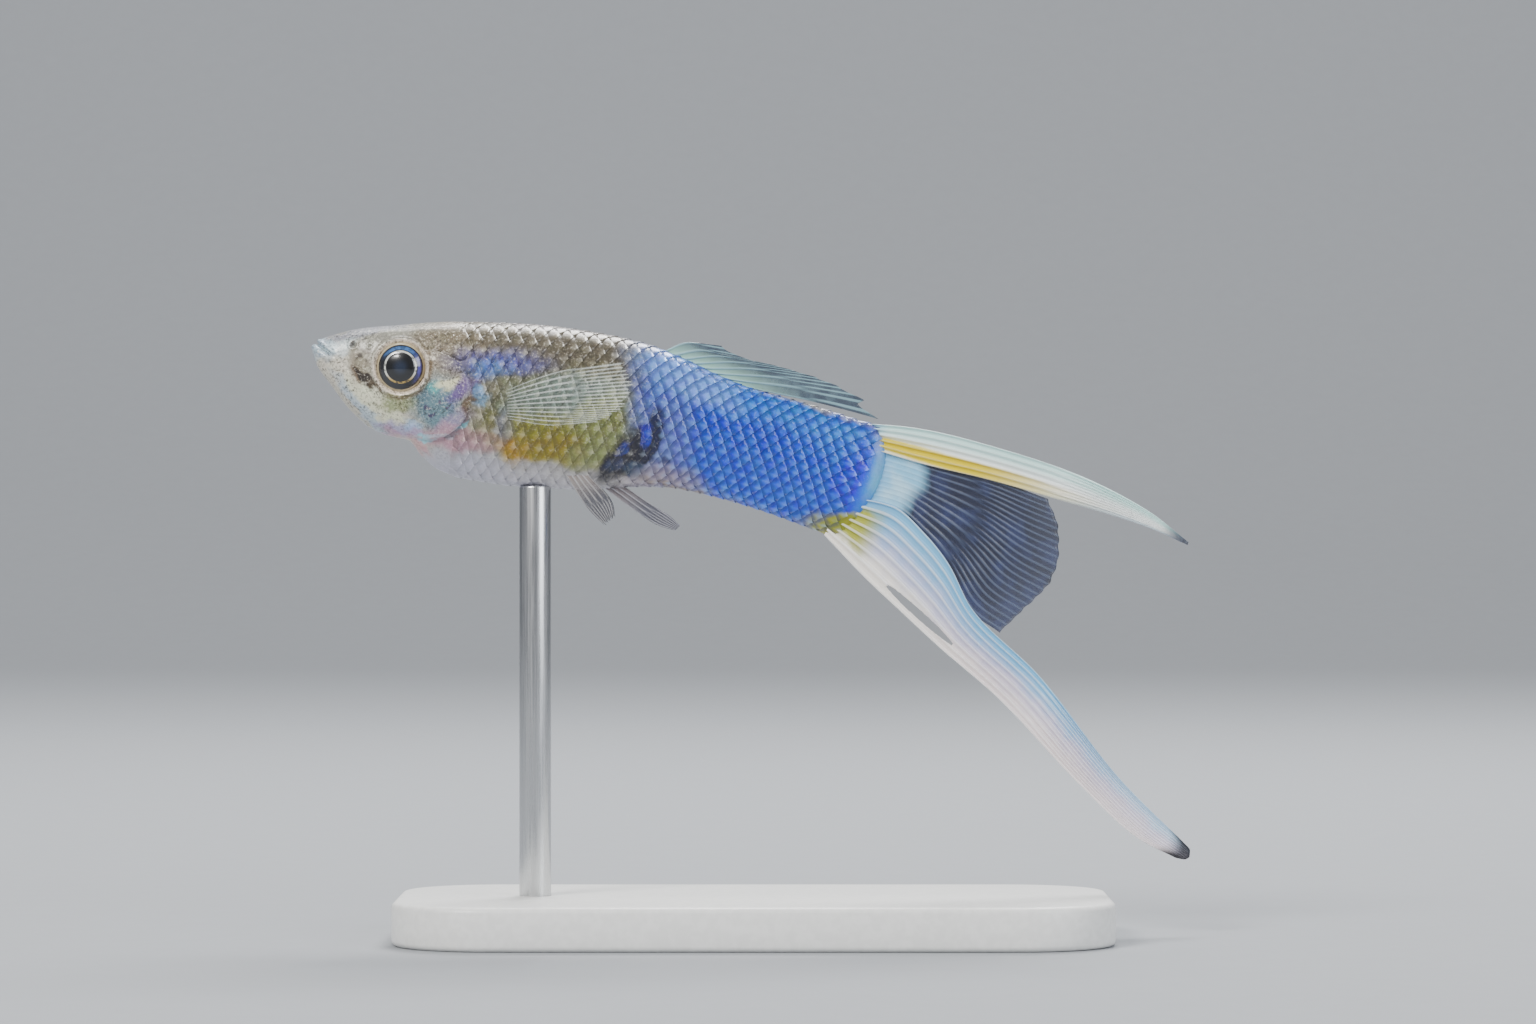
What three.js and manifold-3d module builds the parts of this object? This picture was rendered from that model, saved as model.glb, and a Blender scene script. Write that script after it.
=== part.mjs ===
// A male double-sword guppy as a still, life-size display model on a plain stand.
// Millimetres, +Z up. The head points to -X and the fish's left side faces -Y.
// The origin is on the floor, under the middle of the whole model.
import * as THREE from "three";
import { mergeVertices } from "three/addons/utils/BufferGeometryUtils.js";
import Module from "manifold-3d";

const wasm = await Module();
wasm.setup();
const { Manifold, Mesh } = wasm;

// Driving sizes
const STANDARD_LENGTH = 28; // snout to the end of the tail stalk, along the axis
const HEADING_AT_SNOUT = THREE.MathUtils.degToRad(3); // the axis dips this much at the snout
const HEADING_AT_TAIL = THREE.MathUtils.degToRad(23.4); // and this much at the end of the stalk
const SNOUT = new THREE.Vector3(-22.22, 0, 29.6); // where the snout tip stands over the floor
const GAP = 0.3; // between pieces that touch
const HEAD_END = 8.6; // along the axis, just behind the gill covers
const TRUNK_END = 16.9; // along the axis, just ahead of the dorsal fin
const SWAY_START = 10; // behind this the body swings gently to its right
const SWAY = 0.0026;
const FIN_HALF = 0.25; // half the thickness of a fin's membrane
const RAY_RISE = 0.1; // how far a ray stands out of the membrane, on each side
const FIN_TIP_HALF = 0.12;
const ROD_RADIUS = 0.8;
const ROD_X = 11.2; // from the snout, under the belly and near the centre of mass
const BASE = { length: 36, width: 18, height: 2.2, corner: 5, bevel: 0.3 };

// Colours
const finish = (color, roughness = 0.45, metalness = 0) =>
  new THREE.MeshStandardMaterial({ color, roughness, metalness });
const FINISH = {
  head: finish(0xb5b2a4),
  trunk: finish(0x9a9a6e),
  stalk: finish(0x3f6fd0),
  eye: finish(0x0b0d16, 0.1),
  clearFin: finish(0x4a5a70),
  darkFin: finish(0x1d2440),
  upperSword: finish(0xdbe8ea),
  lowerSword: finish(0xa9c6d6),
  standBase: finish(0xe6e6e3),
  standRod: finish(0xc2c3c5, 0.3, 1),
};

// A smooth curve through [x, y] pairs that never overshoots them
function profile(pairs) {
  const x = pairs.map((p) => p[0]);
  const y = pairs.map((p) => p[1]);
  const chords = x.slice(1).map((v, i) => (y[i + 1] - y[i]) / (v - x[i]));
  const slopes = y.map((_, i) => {
    const before = chords[Math.max(0, i - 1)];
    const after = chords[Math.min(chords.length - 1, i)];
    return before * after <= 0 ? 0 : (2 * before * after) / (before + after);
  });
  return (at) => {
    const inside = Math.min(x[x.length - 1], Math.max(x[0], at));
    let i = 0;
    while (i < chords.length - 1 && inside > x[i + 1]) i++;
    const step = x[i + 1] - x[i];
    const t = (inside - x[i]) / step;
    const [t2, t3] = [t * t, t * t * t];
    return (
      y[i] * (2 * t3 - 3 * t2 + 1) +
      y[i + 1] * (3 * t2 - 2 * t3) +
      step * (slopes[i] * (t3 - 2 * t2 + t) + slopes[i + 1] * (t3 - t2))
    );
  };
}

// A smooth path through [x, z] points, read by the share of its length
function path(points) {
  const along = [0];
  points.slice(1).forEach(([x, z], i) => {
    along.push(along[i] + Math.hypot(x - points[i][0], z - points[i][1]));
  });
  const total = along[along.length - 1];
  const xs = profile(along.map((a, i) => [a / total, points[i][0]]));
  const zs = profile(along.map((a, i) => [a / total, points[i][1]]));
  return (share) => [xs(share), zs(share)];
}

// The axis is one arc that dips towards the tail. Side-view places are [x, z] from the snout tip.
const AXIS_RADIUS = STANDARD_LENGTH / (HEADING_AT_TAIL - HEADING_AT_SNOUT);
const ARC_CENTRE = [
  -AXIS_RADIUS * Math.sin(HEADING_AT_SNOUT),
  -AXIS_RADIUS * Math.cos(HEADING_AT_SNOUT),
];
function fromAxis(along, height) {
  const heading = HEADING_AT_SNOUT + along / AXIS_RADIUS;
  const r = AXIS_RADIUS + height;
  return [ARC_CENTRE[0] + r * Math.sin(heading), ARC_CENTRE[1] + r * Math.cos(heading)];
}
function toAxis(x, z) {
  const [dx, dz] = [x - ARC_CENTRE[0], z - ARC_CENTRE[1]];
  return [
    (Math.atan2(dx, dz) - HEADING_AT_SNOUT) * AXIS_RADIUS,
    Math.hypot(dx, dz) - AXIS_RADIUS,
  ];
}

// The body's size along the axis: height of the back over it, depth of the belly under it, half width
const BACK = profile([
  [0, 0.05], [0.22, 0.55], [0.8, 0.85], [2.3, 1.34], [4.2, 1.7], [6.2, 2.1], [8.1, 2.4],
  [12, 2.88], [16, 3.08], [18, 2.9], [20.1, 2.58], [21.5, 2.48], [25, 2.73], [28.3, 2.97],
]);
const BELLY = profile([
  [0, 0.05], [0.3, 0.76], [0.96, 1.55], [2.1, 2.8], [3.2, 3.58], [4.2, 3.9], [5.3, 4.02],
  [6.1, 4.7], [7.2, 5.34], [8.4, 5.58], [10.5, 5.55], [12.7, 5.29], [15, 4.9], [17.9, 4.04],
  [20, 3.56], [24.3, 3.26], [28.3, 3.15],
]);
const HALF_WIDTH = profile([
  [0, 0.05], [0.2, 0.55], [0.6, 0.86], [1.4, 1.2], [3, 1.66], [4.6, 1.98], [6.4, 2.22], [8.5, 2.38],
  [11, 2.4], [14, 2.2], [17, 1.82], [20, 1.5], [24, 1.1], [28.3, 0.7],
]);
const SQUARE_BACK = profile([[0, 2.2], [4, 2.6], [9, 2.3], [28, 2]]); // section exponents
const SQUARE_BELLY = profile([
  [0, 2], [4, 1.8], [5.3, 1.85], [6.2, 1.55], [7.2, 1.65], [9, 1.95], [17, 1.9], [28, 1.9],
]);
const WIDEST_SHARE = 0.7; // how far the widest line sits towards the middle of the depth

function section(along) {
  const [back, belly] = [BACK(along), BELLY(along)];
  const widest = (WIDEST_SHARE * (back - belly)) / 2;
  return {
    widest,
    up: back - widest,
    down: belly + widest,
    halfWidth: HALF_WIDTH(along),
    backPower: SQUARE_BACK(along),
    bellyPower: SQUARE_BELLY(along),
  };
}

// Half the body's width at a side-view place
function sideAt(x, z) {
  const [along, height] = toAxis(x, z);
  const s = section(along);
  const over = height >= s.widest;
  const power = over ? s.backPower : s.bellyPower;
  const t = Math.min(1, Math.abs(height - s.widest) / (over ? s.up : s.down));
  return s.halfWidth * (1 - t ** power) ** (1 / power);
}

// Height of the belly's skin under the axis at a distance to the side
function bellyAt(along, side) {
  const s = section(along);
  const t = Math.min(1, Math.abs(side) / s.halfWidth);
  return s.widest - s.down * (1 - t ** s.bellyPower) ** (1 / s.bellyPower);
}

// A point of the fish from its side-view place, swung sideways and set over the floor
function place(x, y, z) {
  const behind = Math.max(0, x - SWAY_START);
  return new THREE.Vector3(x, y + SWAY * behind * behind, z).add(SNOUT);
}

function skinPoint(along, angle, lift) {
  const s = section(along);
  const [c, d] = [Math.cos(angle), Math.sin(angle)];
  const power = d >= 0 ? s.backPower : s.bellyPower;
  const side = Math.sign(c) * Math.abs(c) ** (2 / power) * s.halfWidth;
  const rise = Math.sign(d) * Math.abs(d) ** (2 / power) * (d >= 0 ? s.up : s.down);
  const [x, z] = fromAxis(along, s.widest + rise);
  return place(x, side + Math.sign(side) * lift(x, z), z);
}

// Closed meshes from grids of points
function closedMesh(points, faces) {
  const flat = new Float32Array(points.flatMap((p) => [p.x, p.y, p.z]));
  let volume = 0;
  for (const [a, b, c] of faces) {
    volume += points[a].dot(new THREE.Vector3().crossVectors(points[b], points[c]));
  }
  const index = volume > 0 ? faces.flat() : faces.flatMap(([a, b, c]) => [a, c, b]);
  return new THREE.BufferGeometry()
    .setAttribute("position", new THREE.BufferAttribute(flat, 3))
    .setIndex(index);
}

function quad(a, b, c, d) {
  return [[a, b, c], [a, c, d]];
}

// Rings of equal size, closed by a point at each end
function loft(rings) {
  const size = rings[0].length;
  const points = rings.flat();
  const faces = [];
  for (let i = 0; i + 1 < rings.length; i++) {
    for (let j = 0; j < size; j++) {
      const k = (j + 1) % size;
      faces.push(...quad(i * size + j, i * size + k, (i + 1) * size + k, (i + 1) * size + j));
    }
  }
  for (const i of [0, rings.length - 1]) {
    const middle = new THREE.Vector3();
    rings[i].forEach((p) => middle.addScaledVector(p, 1 / size));
    const pole = points.push(middle) - 1;
    for (let j = 0; j < size; j++) {
      const edge = [i * size + j, i * size + ((j + 1) % size)];
      faces.push(i ? [...edge, pole] : [edge[1], edge[0], pole]);
    }
  }
  return closedMesh(points, faces);
}

function bodyLength(start, end, rings, sides, lift = () => 0, crowd = 1) {
  return loft(
    Array.from({ length: rings + 1 }, (_, i) => {
      const along = start + (end - start) * (i / rings) ** crowd;
      return Array.from({ length: sides }, (_, j) =>
        skinPoint(along, ((j + 0.5) / sides) * 2 * Math.PI, lift),
      );
    }),
  );
}

// Solids to and from manifold-3d
function solid(geometry) {
  const bare = geometry.clone();
  bare.deleteAttribute("normal");
  bare.deleteAttribute("uv");
  const merged = mergeVertices(bare, 1e-4);
  return new Manifold(
    new Mesh({
      numProp: 3,
      vertProperties: merged.attributes.position.array,
      triVerts: new Uint32Array(merged.index.array),
    }),
  );
}

function largestPiece(joined) {
  const pieces = joined.decompose();
  pieces.sort((a, b) => b.volume() - a.volume());
  const mesh = pieces[0].simplify(0.015).getMesh();
  return new THREE.BufferGeometry()
    .setAttribute("position", new THREE.BufferAttribute(mesh.vertProperties, 3))
    .setIndex(new THREE.BufferAttribute(mesh.triVerts, 1));
}

// Head sizes
const HEAD_RINGS = 26;
const HEAD_SIDES = 36;
const EYE = { x: 4.54, z: -0.81, side: 1.5, radius: 1.28, bulge: 0.75, turn: 0.15 };
const MOUTH = { front: [0.2, 0.44], corner: [1.3, -0.38], slit: 0.12, upperLip: 0.13, lowerLip: 0.24 };
const NOSTRIL = { x: 2.12, z: 0.32, radius: 0.2 };
const GILL_COVER = { x: 5.9, z: -2.2, radius: 2.2, lift: 0.2, front: -1.6 };

// A gill cover stands proud of the cheek at its round rear edge and fades out to the front
function gillLift(x, z) {
  const rear = x - GILL_COVER.x - GILL_COVER.front;
  const share = THREE.MathUtils.smoothstep(rear, 0, GILL_COVER.radius);
  return GILL_COVER.lift * share - 0.02;
}

function gillCovers() {
  const raised = solid(bodyLength(0, HEAD_END, HEAD_RINGS, HEAD_SIDES, gillLift, 1.3));
  const disc = new THREE.CylinderGeometry(GILL_COVER.radius, GILL_COVER.radius, 8, 32);
  const [x, y, z] = place(GILL_COVER.x, 0, GILL_COVER.z).toArray();
  return raised.intersect(solid(disc.translate(x, y, z)));
}

function eyeball(side, growth) {
  const [wide, deep] = [EYE.radius + growth, EYE.bulge + growth];
  const ball = new THREE.SphereGeometry(1, 24, 16).rotateX(Math.PI / 2);
  const [x, y, z] = place(EYE.x, side * EYE.side, EYE.z).toArray();
  return ball.scale(wide, deep, wide).rotateZ(side * EYE.turn).translate(x, y, z);
}

// The mouth runs from its front, at the tip of the snout, down and back to a corner on each side
function mouthSlit() {
  const [[fx, fz], [cx, cz]] = [MOUTH.front, MOUTH.corner];
  const length = Math.hypot(cx - fx, cz - fz);
  const reach = 1; // past the front of the snout
  const slab = new THREE.BoxGeometry(length + reach, 6, MOUTH.slit);
  slab.translate((length - reach) / 2, 0, 0).rotateY(Math.atan2(fz - cz, cx - fx));
  const [x, y, z] = place(fx, 0, fz).toArray();
  return solid(slab.translate(x, y, z));
}

// A lip is a roll that follows the snout's outline beside the slit, from corner to corner
function lip(offset, radius) {
  const [[fx, fz], [cx, cz]] = [MOUTH.front, MOUTH.corner];
  const length = Math.hypot(cx - fx, cz - fz);
  const across = [((fz - cz) / length) * offset, ((cx - fx) / length) * offset];
  const steps = 8;
  const half = [];
  for (let i = 0; i <= steps; i++) {
    const share = 0.9 * (i / steps) ** 2;
    const x = fx + (cx - fx) * share + across[0] + 0.7 * radius;
    const z = fz + (cz - fz) * share + across[1];
    half.push([x, sideAt(x, z) - radius * share, z]);
  }
  const mirrored = half.slice(1).reverse().map(([x, y, z]) => place(x, -y, z));
  const route = new THREE.CatmullRomCurve3(
    [...mirrored, ...half.map((p, i) => place(p[0], i ? p[1] : 0, p[2]))],
  );
  const roll = new THREE.Shape().absarc(0, 0, radius, 0, 2 * Math.PI);
  return solid(
    new THREE.ExtrudeGeometry(roll, { steps: 24, curveSegments: 8, extrudePath: route }),
  );
}

function head() {
  const skin = solid(bodyLength(0, HEAD_END, HEAD_RINGS, HEAD_SIDES, () => 0, 1.3));
  const { slit, upperLip, lowerLip } = MOUTH;
  let made = skin.add(gillCovers());
  made = made.add(lip(0.7 * (slit + upperLip), upperLip)).add(lip(-0.7 * (slit + lowerLip), lowerLip));
  made = made.subtract(mouthSlit());
  for (const side of [-1, 1]) {
    made = made.subtract(solid(eyeball(side, GAP)));
    const [x, y, z] = place(NOSTRIL.x, side * sideAt(NOSTRIL.x, NOSTRIL.z), NOSTRIL.z).toArray();
    const pit = new THREE.SphereGeometry(NOSTRIL.radius, 10, 8);
    made = made.subtract(solid(pit.translate(x, y, z)));
  }
  return largestPiece(made);
}

// A fin is a thin sheet between a root, two sides and a free edge, each given as share => [x, z].
// Its even columns are rays, raised out of both faces, and its odd ones the membrane between them.
// Both faces are split into the same triangles.
// out(x, z, share) gives the sheet's distance from the middle.
function fin({ root, edge, first, last, rays, rows, rootHalf = 0.4, notch = 0, out = () => 0 }) {
  const columns = 2 * rays - 1;
  const middle = [];
  for (let i = 0; i < columns; i++) {
    const u = i / (columns - 1);
    const inset = i % 2 ? notch : 0;
    for (let j = 0; j <= rows; j++) {
      const v = (j / rows) * (1 - inset);
      const spot = [0, 1].map(
        (k) =>
          (1 - v) * root(u)[k] + v * edge(u)[k] + (1 - u) * first(v)[k] + u * last(v)[k] -
          (1 - u) * ((1 - v) * root(0)[k] + v * edge(0)[k]) -
          u * ((1 - v) * root(1)[k] + v * edge(1)[k]),
      );
      middle.push(place(spot[0], out(spot[0], spot[1], v), spot[1]));
    }
  }
  const at = (i, j) => i * (rows + 1) + j;
  const normals = middle.map((_, index) => {
    const [i, j] = [Math.floor(index / (rows + 1)), index % (rows + 1)];
    const [i0, i1] = [Math.max(0, i - 1), Math.min(columns - 1, i + 1)];
    const [j0, j1] = [Math.max(0, j - 1), Math.min(rows, j + 1)];
    const across = middle[at(i1, j)].clone().sub(middle[at(i0, j)]);
    const down = middle[at(i, j1)].clone().sub(middle[at(i, j0)]);
    return across.cross(down).normalize();
  });
  const faceOf = (sign) =>
    middle.map((p, index) => {
      const [i, j] = [Math.floor(index / (rows + 1)), index % (rows + 1)];
      const v = j / rows;
      const thick = THREE.MathUtils.lerp(rootHalf, FIN_HALF, THREE.MathUtils.smoothstep(v, 0, 0.3));
      const half = j === rows ? FIN_TIP_HALF : thick + (i % 2 ? 0 : RAY_RISE);
      return p.clone().addScaledVector(normals[index], sign * half);
    });
  const offset = middle.length;
  const faces = [];
  for (let i = 0; i + 1 < columns; i++) {
    for (let j = 0; j < rows; j++) {
      const corners = [at(i, j), at(i + 1, j), at(i + 1, j + 1), at(i, j + 1)];
      for (const [a, b, c] of quad(...corners)) {
        faces.push([a, b, c], [c + offset, b + offset, a + offset]);
      }
    }
  }
  const rim = [];
  for (let i = 0; i < columns - 1; i++) rim.push(at(i, 0));
  for (let j = 0; j < rows; j++) rim.push(at(columns - 1, j));
  for (let i = columns - 1; i > 0; i--) rim.push(at(i, rows));
  for (let j = rows; j > 0; j--) rim.push(at(0, j));
  rim.forEach((a, i) => {
    const b = rim[(i + 1) % rim.length];
    faces.push([b, a, a + offset], [b, a + offset, b + offset]);
  });
  return closedMesh([...faceOf(1), ...faceOf(-1)], faces);
}

const between = (a, b) => (t) => [a[0] + (b[0] - a[0]) * t, a[1] + (b[1] - a[1]) * t];

// The dorsal fin is laid back: its last ray follows the back down to the tail
const DORSAL = { start: 17.3, end: 20.4, tip: 28.1 };
function dorsalFin() {
  const overBack = (start, end, rise) => (t) => {
    const along = start + (end - start) * t;
    return fromAxis(along, BACK(along) + GAP + rise * t);
  };
  const last = overBack(DORSAL.end, DORSAL.tip, 0.12);
  const root = overBack(DORSAL.start, DORSAL.end, 0);
  const [front, tip] = [root(0), last(1)];
  const peak = [20.6, 0.32];
  return fin({
    root,
    last,
    first: path([front, [18.9, 0.5], peak]),
    edge: path([peak, [21.8, -0.3], [23.6, -0.72], [26, -1.45], [27.8, -2.4], tip]),
    rays: 8,
    rows: 12,
    notch: 0.03,
  });
}

// A pectoral fin starts just behind the gill cover and stands off the flank towards its tip
const PECTORAL_FLARE = 1.5;
function pectoralFin(side) {
  const [top, bottom] = [[9.75, -2.05], [9.95, -3.4]];
  const [topTip, bottomTip] = [[15.9, -0.55], [14.6, -3.6]];
  const standOff = GAP + FIN_HALF + RAY_RISE + 0.1;
  return fin({
    root: between(top, bottom),
    edge: path([topTip, [16.4, -1.6], [15.9, -2.8], bottomTip]),
    first: path([top, [12.8, -1], topTip]),
    last: path([bottom, [12.3, -3.75], bottomTip]),
    rays: 9,
    rows: 8,
    rootHalf: FIN_HALF,
    notch: 0.03,
    out: (x, z, v) => side * (sideAt(x, z) + standOff + PECTORAL_FLARE * v * v),
  });
}

// A pelvic fin hangs from the belly beside the middle line
const PELVIC = { start: 13.3, end: 14.4, side: 1.05, lean: 0.35 };
function pelvicFin(side) {
  const underBelly = (t) => {
    const along = THREE.MathUtils.lerp(PELVIC.start, PELVIC.end, t) + 0.6;
    return fromAxis(along, bellyAt(along, PELVIC.side) - GAP - 0.1);
  };
  const [front, rear] = [underBelly(0), underBelly(1)];
  const [frontTip, rearTip] = [[14.75, -8.75], [15.2, -8.35]];
  return fin({
    root: underBelly,
    edge: between(frontTip, rearTip),
    first: path([front, [13.9, -7.9], frontTip]),
    last: path([rear, [15.1, -7.7], rearTip]),
    rays: 4,
    rows: 5,
    rootHalf: FIN_HALF,
    out: (x, z, v) => side * (PELVIC.side + PELVIC.lean * v),
  });
}

// The gonopodium is the male's narrow, rod-like anal fin
function gonopodium() {
  const underBelly = (t) => {
    const along = THREE.MathUtils.lerp(15.9, 16.75, t);
    return fromAxis(along, bellyAt(along, 0) - GAP);
  };
  const [frontTip, rearTip] = [[18.25, -9], [18.5, -8.75]];
  return fin({
    root: underBelly,
    edge: between(frontTip, rearTip),
    first: path([underBelly(0), [16.3, -8.05], [17.4, -8.75], frontTip]),
    last: path([underBelly(1), [17, -7.65], [17.9, -8.2], rearTip]),
    rays: 3,
    rows: 8,
    rootHalf: 0.35,
  });
}

// The tail fin: two swords and the clear web between them, all rooted on the end of the stalk
const STALK_HEIGHT = BACK(STANDARD_LENGTH) + BELLY(STANDARD_LENGTH);
function stalkEnd(share) {
  return fromAxis(STANDARD_LENGTH + GAP, BACK(STANDARD_LENGTH) - share * STALK_HEIGHT);
}
const rootSpan = (from, to) => (t) => stalkEnd(from + (to - from) * t);
const UPPER_ROOT = [0.02, 0.15];
const WEB_ROOT = [0.2, 0.66];
const LOWER_ROOT = [0.71, 0.99];

function upperSword() {
  const [tipTop, tipBottom] = [[44.35, -9.6], [44.3, -9.75]];
  return fin({
    root: rootSpan(...UPPER_ROOT),
    edge: between(tipTop, tipBottom),
    first: path([
      stalkEnd(UPPER_ROOT[0]), [31.3, -3.98], [34.3, -4.74], [38.6, -6.15], [42.2, -7.96], tipTop,
    ]),
    last: path([
      stalkEnd(UPPER_ROOT[1]), [30.7, -5.54], [34, -6.25], [37.2, -7.2], [42.2, -8.82], tipBottom,
    ]),
    rays: 5,
    rows: 16,
    rootHalf: 0.45,
  });
}

function web() {
  const [top, bottom] = [[37.15, -7.51], [34.8, -14.1]];
  return fin({
    root: rootSpan(...WEB_ROOT),
    edge: path([top, [37.7, -8.9], [37.75, -10.1], [37.3, -11.6], [36.1, -12.85], bottom]),
    first: path([stalkEnd(WEB_ROOT[0]), [30.6, -5.9], [32.5, -6.32], [35.3, -6.9], top]),
    last: path([
      stalkEnd(WEB_ROOT[1]), [29.2, -7.9], [31.1, -9.2], [32.4, -10.8], [33.5, -12.85], bottom,
    ]),
    rays: 11,
    rows: 9,
    rootHalf: 0.45,
    notch: 0.02,
  });
}

function lowerSword() {
  const [tipInner, tipOuter] = [[44.45, -25.35], [43.9, -25.75]];
  return fin({
    root: rootSpan(...LOWER_ROOT),
    edge: between(tipInner, tipOuter),
    first: path([
      stalkEnd(LOWER_ROOT[0]), [30.8, -9.5], [32.1, -10.95], [33.2, -13], [36.7, -16.4],
      [40.8, -21.6], tipInner,
    ]),
    last: path([
      stalkEnd(LOWER_ROOT[1]), [27.8, -11.4], [29.4, -12.9], [31.6, -14.9], [34.6, -17.5],
      [38.8, -21.95], [41.8, -24.7], tipOuter,
    ]),
    rays: 6,
    rows: 22,
    rootHalf: 0.45,
  });
}

// The stand: a flat base and one short rod up to the belly
function standBase() {
  const { length, width, height, corner, bevel } = BASE;
  const [x, y] = [length / 2 - bevel, width / 2 - bevel];
  const plate = new THREE.Shape()
    .moveTo(corner - x, -y)
    .lineTo(x - corner, -y)
    .absarc(x - corner, corner - y, corner, -Math.PI / 2, 0)
    .lineTo(x, y - corner)
    .absarc(x - corner, y - corner, corner, 0, Math.PI / 2)
    .lineTo(corner - x, y)
    .absarc(corner - x, y - corner, corner, Math.PI / 2, Math.PI)
    .lineTo(-x, corner - y)
    .absarc(corner - x, corner - y, corner, Math.PI, 1.5 * Math.PI);
  return new THREE.ExtrudeGeometry(plate, {
    depth: height - 2 * bevel,
    bevelSize: bevel,
    bevelThickness: bevel,
    bevelSegments: 2,
    curveSegments: 10,
  }).translate(0, 0, bevel);
}

function standRod() {
  const belly = [-1, 0, 1].map((i) => {
    const [along] = toAxis(ROD_X + i * ROD_RADIUS, -5.8);
    return fromAxis(along, -BELLY(along))[1];
  });
  const top = SNOUT.z + Math.min(...belly) - GAP;
  const bottom = BASE.height + GAP;
  const rod = new THREE.CylinderGeometry(ROD_RADIUS, ROD_RADIUS, top - bottom, 24);
  const { x, y } = place(ROD_X, 0, 0);
  return rod.rotateX(Math.PI / 2).translate(x, y, (top + bottom) / 2);
}

// The model: every named piece with its own finish
const pieces = [
  ["head", head(), FINISH.head],
  ["trunk", bodyLength(HEAD_END + GAP, TRUNK_END, 14, 32), FINISH.trunk],
  ["tail_stalk", bodyLength(TRUNK_END + GAP, STANDARD_LENGTH, 16, 28), FINISH.stalk],
  ["eye_left", eyeball(-1, 0), FINISH.eye],
  ["eye_right", eyeball(1, 0), FINISH.eye],
  ["dorsal_fin", dorsalFin(), FINISH.clearFin],
  ["pectoral_fin_left", pectoralFin(-1), FINISH.clearFin],
  ["pectoral_fin_right", pectoralFin(1), FINISH.clearFin],
  ["pelvic_fin_left", pelvicFin(-1), FINISH.clearFin],
  ["pelvic_fin_right", pelvicFin(1), FINISH.clearFin],
  ["gonopodium", gonopodium(), FINISH.clearFin],
  ["tail_upper_sword", upperSword(), FINISH.upperSword],
  ["tail_web", web(), FINISH.darkFin],
  ["tail_lower_sword", lowerSword(), FINISH.lowerSword],
  ["stand_base", standBase(), FINISH.standBase],
  ["stand_rod", standRod(), FINISH.standRod],
];

const guppy = new THREE.Group();
for (const [name, geometry, material] of pieces) {
  const mesh = new THREE.Mesh(geometry, material);
  mesh.name = name;
  guppy.add(mesh);
}

export default guppy;
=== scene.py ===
# A male double-sword guppy, life size, painted and finished like a museum model on a small stand.
import functools
import math

import bpy
import numpy as np
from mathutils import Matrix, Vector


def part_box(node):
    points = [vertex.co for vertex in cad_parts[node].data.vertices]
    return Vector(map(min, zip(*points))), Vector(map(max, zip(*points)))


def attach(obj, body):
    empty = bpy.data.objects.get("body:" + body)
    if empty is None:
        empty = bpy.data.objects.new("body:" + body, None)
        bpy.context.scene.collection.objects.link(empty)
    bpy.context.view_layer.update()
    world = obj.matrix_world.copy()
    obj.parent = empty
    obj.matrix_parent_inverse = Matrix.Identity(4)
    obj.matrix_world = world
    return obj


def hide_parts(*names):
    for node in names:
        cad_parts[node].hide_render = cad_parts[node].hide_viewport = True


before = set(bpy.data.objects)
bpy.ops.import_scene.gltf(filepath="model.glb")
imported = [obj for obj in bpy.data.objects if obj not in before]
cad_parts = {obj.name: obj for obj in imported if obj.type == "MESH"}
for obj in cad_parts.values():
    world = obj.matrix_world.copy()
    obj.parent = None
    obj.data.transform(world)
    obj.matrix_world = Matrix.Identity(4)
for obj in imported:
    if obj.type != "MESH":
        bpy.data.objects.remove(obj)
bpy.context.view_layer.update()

MM = 0.001
PHOTO = (1536, 1024)  # the photograph's frame, in its own pixels
PIXEL = 28 / 555.5  # millimetres to a pixel at the fish
SNOUT_PIXEL = (313, 352)
SNOUT = np.array((-22.22, 0, 29.6))  # millimetres, as in the part's source
rng = np.random.default_rng(7)


# Curves: the body's own profiles, as the part's source has them, in millimetres
def profile(pairs):
    """A smooth curve through pairs that never overshoots them."""
    x, y = np.array(pairs, float).T
    chord = np.diff(y) / np.diff(x)
    before, after = np.r_[chord[0], chord], np.r_[chord, chord[-1]]
    flat = before * after <= 0
    slope = np.where(flat, 0, 2 * before * after / np.where(flat, 1, before + after))

    def at(value):
        value = np.clip(value, x[0], x[-1])
        i = np.clip(np.searchsorted(x, value, "right") - 1, 0, len(chord) - 1)
        step = x[i + 1] - x[i]
        t = (value - x[i]) / step
        rise = y[i] * (2 * t**3 - 3 * t**2 + 1) + y[i + 1] * (3 * t**2 - 2 * t**3)
        return rise + step * (slope[i] * (t**3 - 2 * t**2 + t) + slope[i + 1] * (t**3 - t**2))

    return at


def path(points):
    """A smooth path through side-view points, read by the share of its length."""
    points = np.array(points, float)
    along = np.r_[0, np.cumsum(np.hypot(*np.diff(points, axis=0).T))]
    x, z = (profile(np.c_[along / along[-1], points[:, k]]) for k in (0, 1))
    return lambda share: np.stack((x(share), z(share)), -1)


def ease(value, start, end):
    t = np.clip((value - start) / (end - start), 0, 1)
    return t * t * (3 - 2 * t)


def bump(value, width):
    return np.exp(-((value / width) ** 2))


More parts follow.
